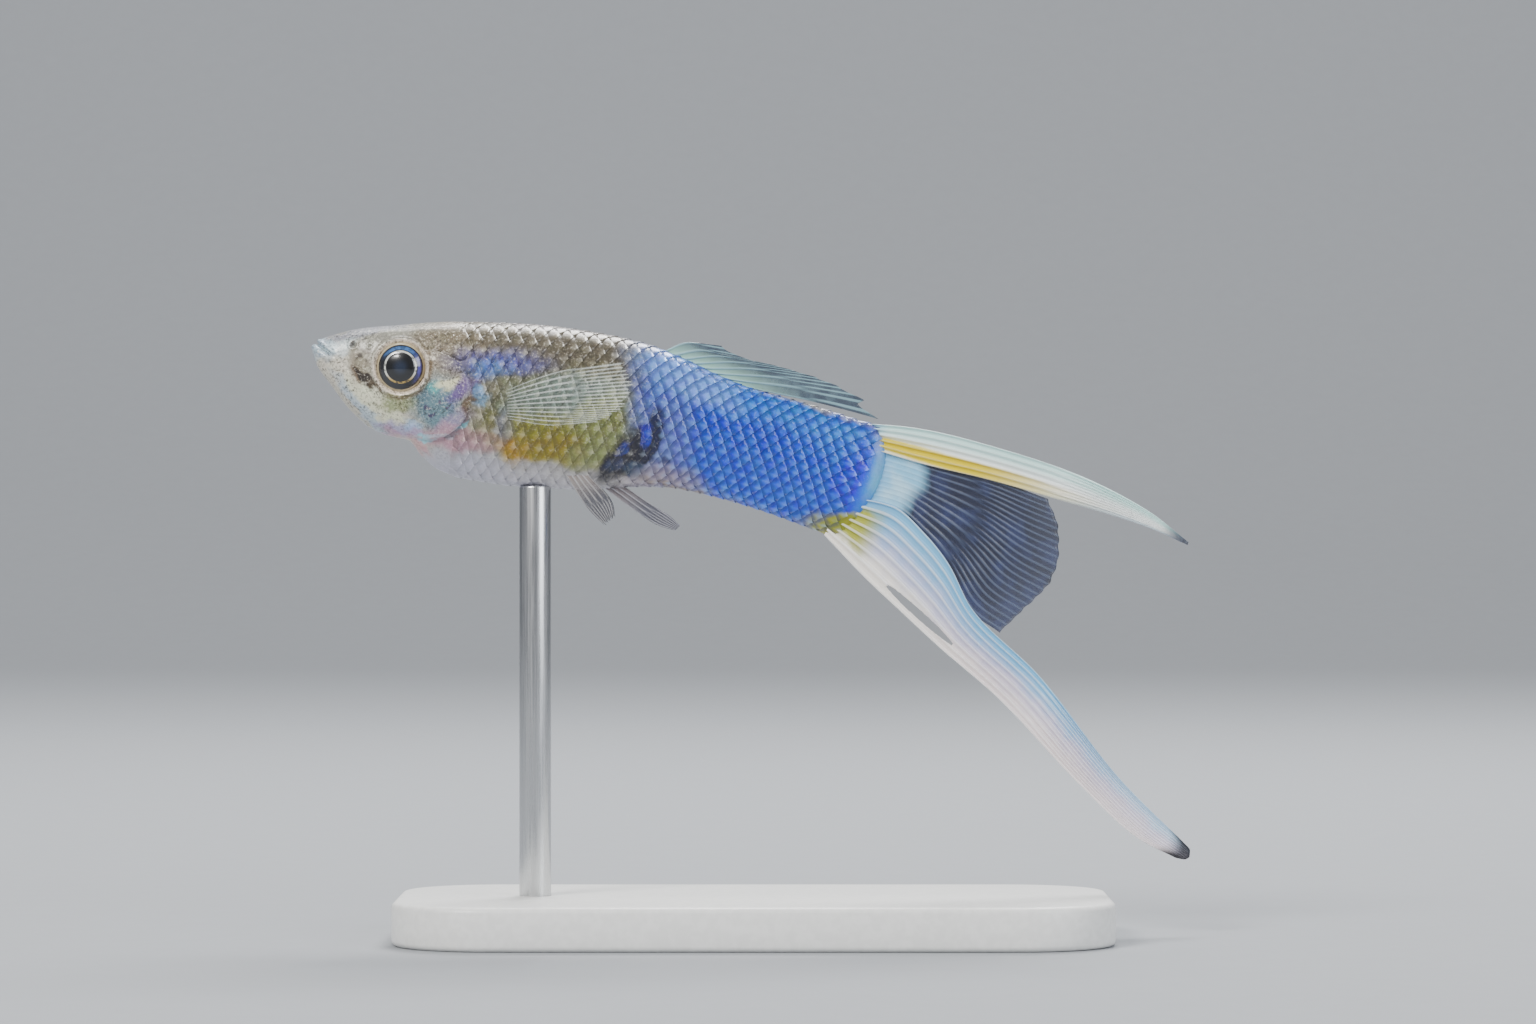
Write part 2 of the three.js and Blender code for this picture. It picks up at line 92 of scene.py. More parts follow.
LENGTH = 28  # snout to the end of the tail stalk
HEADING = np.radians((3, 23.4))  # how much the axis dips at the snout and at the stalk's end
AXIS_RADIUS = LENGTH / (HEADING[1] - HEADING[0])
ARC_CENTRE = -AXIS_RADIUS * np.array((math.sin(HEADING[0]), math.cos(HEADING[0])))
BACK = profile([
    (0, 0.05), (0.22, 0.55), (0.8, 0.85), (2.3, 1.34), (4.2, 1.7), (6.2, 2.1), (8.1, 2.4), (12, 2.88),
    (16, 3.08), (18, 2.9), (20.1, 2.58), (21.5, 2.48), (25, 2.73), (28.3, 2.97),
])
BELLY = profile([
    (0, 0.05), (0.3, 0.76), (0.96, 1.55), (2.1, 2.8), (3.2, 3.58), (4.2, 3.9), (5.3, 4.02), (6.1, 4.7),
    (7.2, 5.34), (8.4, 5.58), (10.5, 5.55), (12.7, 5.29), (15, 4.9), (17.9, 4.04), (20, 3.56),
    (24.3, 3.26), (28.3, 3.15),
])
HALF_WIDTH = profile([
    (0, 0.05), (0.2, 0.55), (0.6, 0.86), (1.4, 1.2), (3, 1.66), (4.6, 1.98), (6.4, 2.22), (8.5, 2.38),
    (11, 2.4), (14, 2.2), (17, 1.82), (20, 1.5), (24, 1.1), (28.3, 0.7),
])
SQUARE_BACK = profile([(0, 2.2), (4, 2.6), (9, 2.3), (28, 2)])
SQUARE_BELLY = profile([
    (0, 2), (4, 1.8), (5.3, 1.85), (6.2, 1.55), (7.2, 1.65), (9, 1.95), (17, 1.9), (28, 1.9),
])
WIDEST = 0.7  # the widest place, as a share of the way from the axis to mid-height
CREST_START, SKIN_END = 27.2, 28.9  # along the axis, where the skin's end starts and closes
CREST_BULGE = 1.1  # millimetres that the end's middle stands behind its top and bottom
MAP_EDGE = 0.02  # the bake map's margin, as a share of its height


def from_axis(along, height):
    heading = HEADING[0] + along / AXIS_RADIUS
    reach = AXIS_RADIUS + height
    return ARC_CENTRE[0] + reach * np.sin(heading), ARC_CENTRE[1] + reach * np.cos(heading)


def to_axis(x, z):
    dx, dz = x - ARC_CENTRE[0], z - ARC_CENTRE[1]
    return (np.arctan2(dx, dz) - HEADING[0]) * AXIS_RADIUS, np.hypot(dx, dz) - AXIS_RADIUS


def place(x, y, z):
    """Millimetres from the snout to millimetres in the part, with the tail's gentle swing."""
    swing = 0.0026 * np.maximum(0, x - 10) ** 2
    return np.stack(np.broadcast_arrays(x, y + swing, z), -1) + SNOUT


# The body's sections, evenly spaced round each ring: turn 0 and 1 are the belly, 0.5 the back
RINGS = np.linspace(0, 29, 500)
TURNS = np.linspace(0, 1, 241)


def sections():
    widest = WIDEST * (BACK(RINGS) - BELLY(RINGS)) / 2
    angle = np.linspace(-math.pi / 2, 1.5 * math.pi, 1441)
    side, rise = np.cos(angle), np.sin(angle)
    table = np.zeros((len(RINGS), len(TURNS), 2))
    for i, ring in enumerate(RINGS):
        power = np.where(rise >= 0, SQUARE_BACK(ring), SQUARE_BELLY(ring))
        reach = np.where(rise >= 0, BACK(ring) - widest[i], BELLY(ring) + widest[i])
        y = -np.sign(side) * np.abs(side) ** (2 / power) * HALF_WIDTH(ring)
        h = widest[i] + np.sign(rise) * np.abs(rise) ** (2 / power) * reach
        arc = np.r_[0, np.cumsum(np.hypot(np.diff(y), np.diff(h)))]
        table[i, :, 0] = np.interp(TURNS * arc[-1], arc, y)
        table[i, :, 1] = np.interp(TURNS * arc[-1], arc, h)
    return table


SECTIONS = sections()


def section_at(along, turn):
    """Side and height of the body's skin at a place along the axis and a turn round it."""
    i = np.clip(along / RINGS[-1] * (len(RINGS) - 1), 0, len(RINGS) - 1.001)
    j = np.clip(turn % 1 * (len(TURNS) - 1), 0, len(TURNS) - 1.001)
    i0, j0 = i.astype(int), j.astype(int)
    fi, fj = (i - i0)[..., None], (j - j0)[..., None]
    near = SECTIONS[i0, j0] * (1 - fj) + SECTIONS[i0, j0 + 1] * fj
    far = SECTIONS[i0 + 1, j0] * (1 - fj) + SECTIONS[i0 + 1, j0 + 1] * fj
    mixed = near * (1 - fi) + far * fi
    return mixed[..., 0], mixed[..., 1]


def body_point(along, turn):
    side, height = section_at(along, turn)
    x, z = from_axis(along, height)
    return np.stack((x, side, z), -1)


def body_normal(along, turn):
    ahead, behind = body_point(along + 0.03, turn), body_point(np.maximum(along - 0.03, 0), turn)
    left, right = body_point(along, turn + 0.004), body_point(along, turn - 0.004)
    normal = np.cross(ahead - behind, left - right)
    return normal / np.maximum(np.linalg.norm(normal, axis=-1, keepdims=True), 1e-9)


# The head's relief, in side-view millimetres from the snout
EYE = (4.54, -0.81)
EYE_RIM = 1.45  # radius of the raised ring round the eye
EYE_SOCKET = (1.12, 1.34)  # radii of the socket's floor and edge
GILL = (5.9, -2.2, 2.2)  # centre and radius of the gill cover's round edge
CHEEK = (4.1, -2.1, 1.75)  # centre and radius of the crease behind the cheek
MOUTH = ((0.2, 0.44), (1.3, -0.38))  # the line of the lips, from the tip to the corner
JAW = (1.3, -0.5)  # where the crease of the lower jaw starts
NOSTRILS = ((2.12, 0.32, 0.12, 0.16), (2.95, 0.28, 0.07, 0.08))  # place, size, depth
HEAD_END = 8.6  # along the axis, where the relief has faded out
COAT = 0.09  # how far the skin lies inside the solids, under the scales


def head_relief(x, z):
    start, corner = np.array(MOUTH)
    ux, uz = (corner - start) / math.hypot(*(corner - start))
    along, across = (x - start[0]) * ux + (z - start[1]) * uz, (start[0] - x) * uz + (z - start[1]) * ux
    lips = (1 - ease(along, 0.8, 1.4)) * ease(1.8 - x, 0, 0.4)
    lift = lips * (0.08 * bump(across - 0.16, 0.1) + 0.17 * bump(across + 0.24, 0.17))
    lift -= 0.19 * bump(across, 0.06) * (1 - ease(along, 0.8, 1.3)) * (x < 2)
    for nx, nz, size, depth in NOSTRILS:
        away = np.hypot(x - nx, z - nz)
        lift += 0.04 * bump(away - 1.7 * size, size / 2) - depth * bump(away, size)
    eye = np.hypot(x - EYE[0], z - EYE[1])
    lift += 0.07 * bump(eye - EYE_RIM, 0.1) - 0.6 * (1 - ease(eye, *EYE_SOCKET))
    gill = np.hypot(x - GILL[0], z - GILL[1]) - GILL[2]
    rear = ease(x, GILL[0] - 1.4, GILL[0] + 1.2)
    lift += 0.19 * rear * (1 - ease(gill, -0.03, 0.04)) - 0.08 * rear * bump(gill - 0.1, 0.08)
    cheek = np.hypot(x - CHEEK[0], z - CHEEK[1]) - CHEEK[2]
    lift -= 0.08 * bump(cheek, 0.09) * ease(x, 4.6, 5.2) * ease(-z, 0.6, 1.2)
    jaw = (x - JAW[0]) * 0.72 + (z - JAW[1]) * 0.69
    lift -= 0.06 * bump(jaw - 0.12, 0.09) * ease(x, 1.3, 1.7) * (1 - ease(x, 3, 3.6))
    return lift


# Building: a grid is added, its points are moved to their places, and modifiers finish it
def grid(name, columns, rows):
    bpy.ops.object.select_all(action="DESELECT")
    bpy.ops.mesh.primitive_grid_add(x_subdivisions=columns, y_subdivisions=rows, size=1)
    piece = bpy.context.object
    piece.name = piece.data.name = name
    spots = points_of(piece) + 0.5
    return piece, spots[:, 0], spots[:, 1]


def points_of(piece):
    spots = np.zeros(len(piece.data.vertices) * 3)
    piece.data.vertices.foreach_get("co", spots)
    return spots.reshape(-1, 3)


def move_points(piece, points):
    piece.data.vertices.foreach_set("co", (points * MM).ravel())
    piece.data.update()


def keep(piece, name, values):
    """Stores a triple for each point, for the material to read."""
    layer = piece.data.attributes.new(name, "FLOAT_VECTOR", "POINT")
    layer.data.foreach_set("vector", np.ascontiguousarray(values, float).ravel())


def unwrapped(along, turn):
    """A place on the skin as a place on the flat map that colours are baked through."""
    return along / RINGS[-1], MAP_EDGE + (1 - 2 * MAP_EDGE) * turn


def bake_map(piece, u, v):
    layer = piece.data.uv_layers.active or piece.data.uv_layers.new()
    layer.name = "OFBake"
    corners = np.zeros(len(piece.data.loops), int)
    piece.data.loops.foreach_get("vertex_index", corners)
    layer.data.foreach_set("uv", np.stack((u[corners], v[corners]), -1).ravel())


def choose(piece):
    """Selects one piece alone."""
    bpy.ops.object.select_all(action="DESELECT")
    piece.select_set(True)
    bpy.context.view_layer.objects.active = piece


def tidy(piece, merge):
    """Merges points that are closer than some millimetres and turns all faces outwards."""
    choose(piece)
    bpy.ops.object.mode_set(mode="EDIT")
    bpy.ops.mesh.select_all(action="SELECT")
    bpy.ops.mesh.remove_doubles(threshold=merge * MM)
    bpy.ops.mesh.normals_make_consistent(inside=False)
    bpy.ops.object.mode_set(mode="OBJECT")
    bpy.ops.object.shade_smooth()


def pick(piece, kind, elements, chosen):
    """Selects some of a mesh's edges or faces and stays in edit mode."""
    choose(piece)
    bpy.ops.object.mode_set(mode="EDIT")
    bpy.ops.mesh.select_mode(type=kind)
    bpy.ops.mesh.select_all(action="DESELECT")
    bpy.ops.object.mode_set(mode="OBJECT")
    for index in chosen:
        elements[index].select = True
    bpy.ops.object.mode_set(mode="EDIT")


def apply_modifier(piece, kind, **settings):
    made = piece.modifiers.new(kind.title(), kind)
    for name, value in settings.items():
        setattr(made, name, value)
    choose(piece)
    bpy.ops.object.modifier_apply(modifier=made.name)


def finished(piece, material, slot, *nodes):
    piece.data.materials.clear()
    piece.data.materials.append(material)
    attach(piece, "root")
    if nodes:
        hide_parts(*nodes)
    return piece


# Materials. For each kind of shader node: Blender's name for it, the sockets that values go to in turn,
# its settings, and the output it gives, or None for all of them
NODES = {
    "object": ("TexCoord", (), {}, "Object"),
    "attribute": ("Attribute", (), {}, "Vector"),
    "axes": ("SeparateXYZ", (0,), {}, None),
    "frame": ("Mapping", ("Vector", "Location", "Rotation", "Scale"), {"vector_type": "TEXTURE"}, 0),
    "length": ("VectorMath", (0,), {"operation": "LENGTH"}, "Value"),
    "scale": ("VectorMath", (0, 3), {"operation": "SCALE"}, 0),
    "shift": ("VectorMath", (0, 1), {"operation": "ADD"}, 0),
    "noise": ("TexNoise", ("Vector", "Scale", "Detail", "Roughness"), {}, "Fac"),
    "colour noise": ("TexNoise", ("Vector", "Scale", "Detail", "Roughness"), {}, "Color"),
    "ease": ("MapRange", range(5), {"interpolation_type": "SMOOTHSTEP"}, 0),
    "mix": ("Mix", (0, 6, 7), {"data_type": "RGBA"}, 2),
    "mix numbers": ("Mix", (0, 2, 3), {}, 0),
    "hue": ("HueSaturation", ("Hue", "Saturation", "Color"), {}, 0),
    "bump": ("Bump", ("Height", "Strength", "Distance"), {}, 0),
}
UNTURNED = (0, 0, 0)


def linear(hex_colour):
    channels = [int(hex_colour[k : k + 2], 16) / 255 for k in (1, 3, 5)]
    return [c / 12.92 if c <= 0.04045 else ((c + 0.055) / 1.055) ** 2.4 for c in channels] + [1]


def add(tree, kind, *values, **settings):
    """Adds a node with its settings and links. A kind in capitals is a sum, such as MULTIPLY."""
    name, sockets, usual, output = NODES.get(kind, ("Math", range(3), {"operation": kind}, 0))
    made = tree.nodes.new("ShaderNode" + name)
    for key, value in {**usual, **settings}.items():
        setattr(made, key, value)
    for socket, value in zip(sockets, values):
        if isinstance(value, bpy.types.NodeSocket):
            tree.links.new(value, made.inputs[socket])
        else:
            made.inputs[socket].default_value = linear(value) if isinstance(value, str) else value
    return made.outputs if output is None else made.outputs[output]


def grain(size_mm):
    """The scale of a pattern whose grains are some millimetres across."""
    return 1 / (size_mm * MM)


def new_material(name, **values):
    material = bpy.data.materials.new(name)
    material.use_nodes = True
    tree = material.node_tree
    for key, value in values.items():
        tree.nodes["Principled BSDF"].inputs[key.replace("_", " ")].default_value = value
    return material, functools.partial(add, tree)


def wired(material, **links):
    """Links some of a material's shader sockets, and gives the material."""
    tree = material.node_tree
    for key, value in links.items():
        tree.links.new(value, tree.nodes["Principled BSDF"].inputs[key.replace("_", " ")])
    return material


# The fish's markings, as patches in the photograph's frame:
# (x, y, half length, half height, turn in degrees, softness, colour, strength)
MARKS = [
    (560, 345, 200, 42, 8, 0.5, "#5f5848", 0.95),  # grey-brown back
    (540, 319, 190, 10, 5, 0.9, "#a9a6aa", 0.7),  # pale ridge of the back
    (500, 490, 150, 40, 6, 0.9, "#b7b7c4", 0.95),  # pale belly
    (365, 385, 95, 80, 0, 0.5, "#bdb9ac", 1.0),  # silvery head
    (385, 330, 100, 20, -4, 0.7, "#7b7a70", 0.9),  # grey-olive crown
    (356, 333, 58, 7, -14, 0.9, "#8f93a5", 0.5),
    (452, 350, 40, 30, 0, 0.8, "#6f6450", 0.85),  # speckled temple
    (345, 372, 34, 16, 48, 0.8, "#d3cdbf", 0.8),  # cream snout
    (382, 410, 46, 12, 42, 0.7, "#dfdfc6", 0.9),  # pale jaw
    (366, 412, 46, 6, 50, 0.8, "#a9bdcf", 0.7),  # bluish edge of the jaw
    (403, 401, 22, 11, -6, 0.8, "#8a9168", 0.85),  # olive under the eye
    (427, 396, 4, 16, 30, 0.8, "#6b5a3c", 0.8),
    (404, 431, 24, 7, 14, 0.9, "#9a92c8", 0.7),  # lavender throat
    (392, 433, 12, 5, 30, 0.9, "#b97f92", 0.45),
    (414, 426, 7, 5, 0, 0.9, "#a9c8ea", 0.6),
    (322, 349, 15, 10, 0, 0.8, "#a9bfce", 0.8),  # bluish lips
    (342, 347, 18, 7, -10, 0.8, "#c9d6da", 0.6),
    (440, 408, 24, 28, 0, 0.9, "#64808c", 0.95),  # steel-blue gill cover
    (437, 389, 8, 6, 0, 1.2, "#63b0ae", 0.75),
    (452, 385, 12, 5, -8, 0.9, "#e8e4c0", 0.85),
    (464, 392, 7, 18, 30, 1.2, "#684a90", 0.75),  # violet rear of the gill cover
    (478, 388, 5, 12, 20, 1.2, "#7c66b8", 0.6),
    (458, 421, 18, 7, -24, 0.9, "#9a8aa8", 0.7),
    (472, 406, 4.5, 13, 24, 0.9, "#4c2622", 0.8),  # red-brown gill slit
    (437, 437.5, 22, 2.4, -4, 0.8, "#8fe0ea", 0.95),  # bright lower edge
    (461, 427, 11, 2.4, -38, 0.8, "#7fcfe2", 0.9),
    (431, 407, 2.8, 2.6, 0, 0.9, "#3a2a52", 0.8),
    (436, 414, 2.8, 2.4, 0, 0.9, "#3a2a52", 0.8),
    (444, 405, 2.6, 2.8, 0, 0.9, "#4a2f52", 0.7),
    (449, 411, 2.4, 2.2, 0, 0.9, "#4a2f52", 0.7),
    (470, 440, 46, 12, 6, 0.9, "#b98d9c", 0.75),  # pink breast
    (418, 445, 16, 5, 40, 0.9, "#c58f9a", 0.6),
    (483, 399, 7, 12, 0, 0.8, "#8cb9ea", 0.9),
    (494, 408, 8, 20, 6, 0.7, "#3d3b3a", 0.85),  # dark bar behind the gill
    (508, 424, 10, 19, 0, 0.8, "#5a64cc", 0.9),
    (505, 366, 44, 13, 4, 1.5, "#4a55b4", 0.65),  # blue-violet shoulder
    (490, 372, 18, 8, 0, 1.3, "#5f8fd0", 0.5),
    (520, 384, 30, 8, 4, 0.9, "#3f4a38", 0.6),
    (575, 425, 84, 46, 2, 1.0, "#848334", 0.95),  # olive-yellow flank
    (560, 396, 58, 18, -8, 0.9, "#6a8080", 0.8),
    (517, 450, 15, 12, 10, 1.4, "#a88000", 0.95),  # ochre
    (552, 450, 32, 14, 2, 1.4, "#857300", 0.9),
    (610, 425, 32, 28, 0, 0.8, "#7d8552", 0.8),
    (600, 452, 36, 13, -14, 0.9, "#7f8860", 0.6),
    (560, 478, 70, 12, 5, 0.9, "#a5a2aa", 0.6),
    (762, 430, 126, 84, 22, 0.5, "#2f62d8", 1.0),  # the blue flank
    (670, 440, 34, 60, 8, 1.3, "#747fb8", 0.9),  # lavender-grey ahead of it
    (662, 480, 38, 13, 4, 1.5, "#94868c", 0.8),
    (806, 492, 100, 34, 22, 1.4, "#1c4fd6", 0.8),  # deeper blue below
    (748, 427, 58, 34, 22, 1.6, "#4052cf", 0.6),
    (696, 380, 60, 20, 24, 1.2, "#8fb2f5", 0.85),  # pale blue shoulder of the flank: its blue, lightened by a painted highlight
    (800, 418, 70, 14, 21, 0.9, "#3b83e0", 0.7),
    (855, 480, 19, 30, 14, 0.9, "#1230e0", 0.9),  # the deepest blue
    (902, 480, 30, 60, 20, 0.9, "#7fbce2", 0.95),  # sky-blue end of the body
    (742, 371, 125, 8, 22.5, 0.9, "#a8a288", 0.95),  # pale line along the back
    (745, 513, 110, 4, 19, 0.9, "#7d6c56", 0.8),  # tan line along the keel
    (850, 528, 46, 14, 8, 0.7, "#8f9010", 0.95),  # olive-yellow root of the lower sword
    (630, 454, 40, 17, -40, 0.4, "#0a0d20", 1.0),  # navy crescent
    (655, 434, 7, 26, 8, 0.6, "#0c1026", 0.95),
    (647, 434, 5, 11, 20, 0.9, "#1a2fc8", 0.85),
    (622, 448, 9, 4, -40, 0.9, "#2a44b8", 0.45),
    (616, 466, 12, 8, -30, 0.8, "#2c3657", 0.7),
    (634, 470, 10, 9, 0, 0.9, "#3b4a66", 0.7),
    (664, 463, 5, 4, 0, 0.9, "#2b2c50", 0.8),
    (361, 366, 10, 19, -14, 1.1, "#6d624c", 0.7),  # mottled band ahead of the eye
    (355, 345, 3, 2.4, 0, 0.8, "#3a2e26", 0.8),  # painted shade in the nostril's pit
    (362, 356, 4, 3.4, 0, 0.8, "#2f241c", 0.85),  # dark specks ahead of the eye
    (368, 350, 9, 3, 60, 0.9, "#5f564a", 0.6),
    (360, 374, 5, 9, -38, 0.9, "#5e4426", 0.6),
    (367, 378, 16, 3.8, 44, 0.8, "#1f1612", 0.95),
    (378, 389, 9, 3, 44, 0.9, "#4a3b28", 0.8),
    (432, 359, 6, 4, 0, 0.9, "#fff6e4", 0.9),  # bright spot behind the eye
]
WANDER = 1.2  # width that a patch's edge wanders over, in millimetres
PIGMENT_CELL = 0.13  # millimetres across a speck of pigment
BUMP_DEPTH = 0.03  # relief of the skin, in millimetres
BACK_SLOPE = 0.1  # fall of a level line for each step towards the tail
TOP_LEVEL = (SNOUT[2] + BACK_SLOPE * SNOUT[0]) * MM  # the level line through the snout


def photo_place(x, y):
    """A photograph's pixel as a place in the part, in metres, on the fish's middle plane."""
    side_view = (np.array((x, y)) - SNOUT_PIXEL) * PIXEL
    return (SNOUT + (side_view[0], 0, -side_view[1])) * MM


def markings(node):
    """The painted colours of skin and scales, alike on both sides."""
    spots = node("object")
    wander = node("shift", node("colour noise", spots, grain(0.9), 3.0), (-0.5, -0.5, -0.5))
    drawn = node("shift", spots, node("scale", wander, WANDER * MM))
    colour = "#8f8b80"
    for x, y, length, height, turn, soft, paint, strength in MARKS:
        size = (length * PIXEL * MM, 1, height * PIXEL * MM)
        centred = node("frame", drawn, photo_place(x, y), (0, math.radians(turn), 0), size)
        mask = node("ease", node("length", centred), 1 + soft / 2, 1 - soft / 2, 0, strength)
        colour = node("mix", mask, colour, paint)
    shimmer = node("noise", spots, grain(0.45), 3.0)
    hue = node("ease", shimmer, 0.3, 0.7, 0.488, 0.512)
    return spots, node("hue", hue, 1.15, colour)


def round_eye(node, spots):
    """A place seen from the eye's centre, in millimetres, and how far off it is."""
    centre = (SNOUT + (EYE[0], 0, EYE[1])) * MM
    centred = node("frame", spots, centre, UNTURNED, (MM, 1, MM))
    return node("axes", centred), node("length", centred)


def eye_ring(node, spots, colour):
    """The pale skin round the eye, and a brown band of painted shade just outside it, darkest at its lower
    rear.
    """
    (x, _, z), away = round_eye(node, spots)
    # Painted shade: a brown band outside the eye's raised rim, darkest at its lower rear
    lower_rear = node("ease", node("SUBTRACT", x, z), -0.2, 1.6, 0.1, 0.75)
    brown = node("MULTIPLY", node("ease", away, 1.75, 1.52), node("ease", away, 1.38, 1.5))
    colour = node("mix", node("MULTIPLY", brown, lower_rear), colour, "#6b5434")
    return node("mix", node("ease", away, 1.46, 1.38, 0, 0.95), colour, "#d9c9b4")


def speckled(node, spots, colour, strength):
    """Pigment cells, dense on the crown and back and few on the belly."""
    cells = node("noise", spots, grain(PIGMENT_CELL), 4.0, 0.75)
    patches = node("noise", spots, grain(0.8), 2.0)
    x, _, z = node("axes", spots)
    level = node("MULTIPLY_ADD", x, BACK_SLOPE, z)
    upper = node("ease", level, TOP_LEVEL - 5.2 * MM, TOP_LEVEL - 1.2 * MM, 0.22, 1)
    dark = node("MULTIPLY", node("ease", cells, 0.5, 0.6, 0, strength), upper)
    dark = node("MULTIPLY", dark, node("ease", patches, 0.35, 0.6, 0.35, 1))
    pale = node("MULTIPLY", node("ease", cells, 0.45, 0.36, 0, 0.55 * strength), upper)
    rear = node("ease", x, (SNOUT[0] + 15) * MM, (SNOUT[0] + 18) * MM, 1, 0.3)
    colour = node("mix", node("MULTIPLY", dark, rear), colour, "#2f281f")
    return node("mix", node("MULTIPLY", pale, rear), colour, "#ece6d4"), cells, level


def skin_material():
    # Painted resin skin under a thin satin varnish, with a little pearl in the paint
    material, node = new_material(
        "varnished_skin", Metallic=0.1, Roughness=0.42, Coat_Weight=0.35, Coat_Roughness=0.15
    )
    spots, colour = markings(node)
    colour, cells, _ = speckled(node, spots, eye_ring(node, spots, colour), 0.85)
    pores = node("bump", cells, 0.35, BUMP_DEPTH * MM)
    return wired(material, Base_Color=colour, Normal=pores)


def scale_material():
    # Lacquered scales over pearl paint: a painted highlight on each exposed plate, and painted shade at its
    # root under the one ahead
    material, node = new_material(
        "lacquered_scales", Metallic=0.2, Roughness=0.38, Coat_Weight=0.4, Coat_Roughness=0.12
    )
    spots, colour = markings(node)
    along, front, glint = node("axes", node("attribute", attribute_name="plate"))
    colour, cells, level = speckled(node, spots, colour, 0.7)
    x, _, _ = node("axes", spots)
    blue = node("ease", x, (SNOUT[0] + 15.5) * MM, (SNOUT[0] + 18) * MM)
    above = node("ease", level, TOP_LEVEL - 5 * MM, TOP_LEVEL - 3.4 * MM, 0.15, 0.45)
    depth = node("MAXIMUM", above, node("MULTIPLY", blue, 0.55))
    # Painted shade: each plate darkens towards its root, as if shadowed by the plate ahead
    root = node("MULTIPLY", node("ease", front, 0.2, 0.02), depth)
    colour = node("mix", root, colour, node("mix", blue, "#3b352b", "#10205c"))
    # Painted highlight: the open part of each plate lightens, more on some plates than others
    painted_highlight = node("MULTIPLY", node("ease", front, 0.12, 0.4), node("ease", glint, -0.4, 1.1))
    painted_highlight = node("MULTIPLY", node("MULTIPLY", painted_highlight, depth), 0.7)
    colour = node("mix", painted_highlight, colour, node("mix", blue, "#d4cfbd", "#8ab6f8"))
    relief = node("bump", node("ADD", cells, along), 0.2, BUMP_DEPTH * MM)
    return wired(material, Base_Color=colour, Normal=relief)


# The skin: one closed sheet from the lips to the tail, where it rounds in to a crest
def skin():
    piece, u, v = grid("skin", 300, 240)
    head_share = 0.52
    head_crowding = 1.55  # rows crowd towards the lips
    along = np.where(
        u < head_share,
        HEAD_END * (np.minimum(u, head_share) / head_share) ** head_crowding,
        HEAD_END + (SKIN_END - HEAD_END) * (u - head_share) / (1 - head_share),
    )
    points, normal = body_point(along, v), body_normal(along, v)
    lift = head_relief(points[:, 0], points[:, 2]) * (1 - ease(along, HEAD_END - 0.6, HEAD_END))
    coat = COAT * ease(along, 6.5, 9)
    points = points + normal * (lift - coat)[:, None]
    middle = body_point(along, np.full_like(along, 0.25))
    over = np.clip((along - CREST_START) / (SKIN_END - CREST_START), 0, 1)
    level = (points[:, 2] - middle[:, 2]) / 3.05
    points[:, 0] += over * CREST_BULGE * (0.55 - np.clip(np.abs(level), 0, 1.1) ** 2)
    points[:, 1] *= np.sqrt(np.maximum(0, 1 - over**2))
    points[u < 1e-6] = (from_axis(0.0, 0.0)[0] - 0.02, 0, 0)
    points[u > 1 - 1e-6, 1] = 0
    bake_map(piece, *unwrapped(along, v))
    move_points(piece, place(points[:, 0], points[:, 1], points[:, 2]))
    tidy(piece, 0.0008)
    return finished(piece, skin_material(), "trunk", "head", "trunk", "tail_stalk")


# The scales: thin curved plates in rows that overlap towards the tail, like roof tiles
ROWS = 15  # on each side
ROW_TURN = 0.5 * 0.985 / ROWS  # of the whole way round the body
PITCH = 0.66  # from one scale's root to the next in its row
PLATE_LENGTH = 1.75 * PITCH
PLATE_THICK = 0.035
PLATE_STEPS = 6
PLATE_PATCH = (0.016, 0.012)  # length and half width of a plate's patch on the bake map
FIRST_SCALE, LAST_SCALE = 4.6, 27.8


def scale_starts():
    """Place along the axis and turn of every scale, where the body has them."""
    found = []
    for row in range(-ROWS, ROWS + 1):
        turn = 0.5 + row * ROW_TURN
        along = FIRST_SCALE + 0.5 * PITCH * (row % 2)
        while along < LAST_SCALE:
            spot = body_point(np.array([along + 0.5]), np.array([turn]))[0]
            gill = math.hypot(spot[0] - GILL[0], spot[2] - GILL[1])
            from_eye = math.hypot(spot[0] - EYE[0], spot[2] - EYE[1])
            top = from_eye > 2.1 and spot[2] > 0.2 and gill > GILL[2]
            flank = spot[0] > 7.2 and gill > GILL[2] + 0.35 and from_eye > 2.2
            if top or flank:
                found.append((along, turn))
            along += PITCH * (1.06 - 0.004 * along)
    return found


def plate_faces():
    """The faces of one plate: its outer sheet, its inner sheet and the rim between them."""
    across = PLATE_STEPS + 1
    inner = across**2
    faces = []
    for i in range(PLATE_STEPS):
        for j in range(PLATE_STEPS):
            corner = i * across + j
            ring = [corner, corner + across, corner + across + 1, corner + 1]
            faces += [ring, [k + inner for k in reversed(ring)]]
    rim = [i * across for i in range(PLATE_STEPS)]
    rim += [PLATE_STEPS * across + j for j in range(PLATE_STEPS)]
    rim += [i * across + PLATE_STEPS for i in range(PLATE_STEPS, 0, -1)]
    rim += list(range(PLATE_STEPS, 0, -1))
    for a, b in zip(rim, rim[1:] + rim[:1]):
        faces.append([b, a, a + inner, b + inner])
    return faces


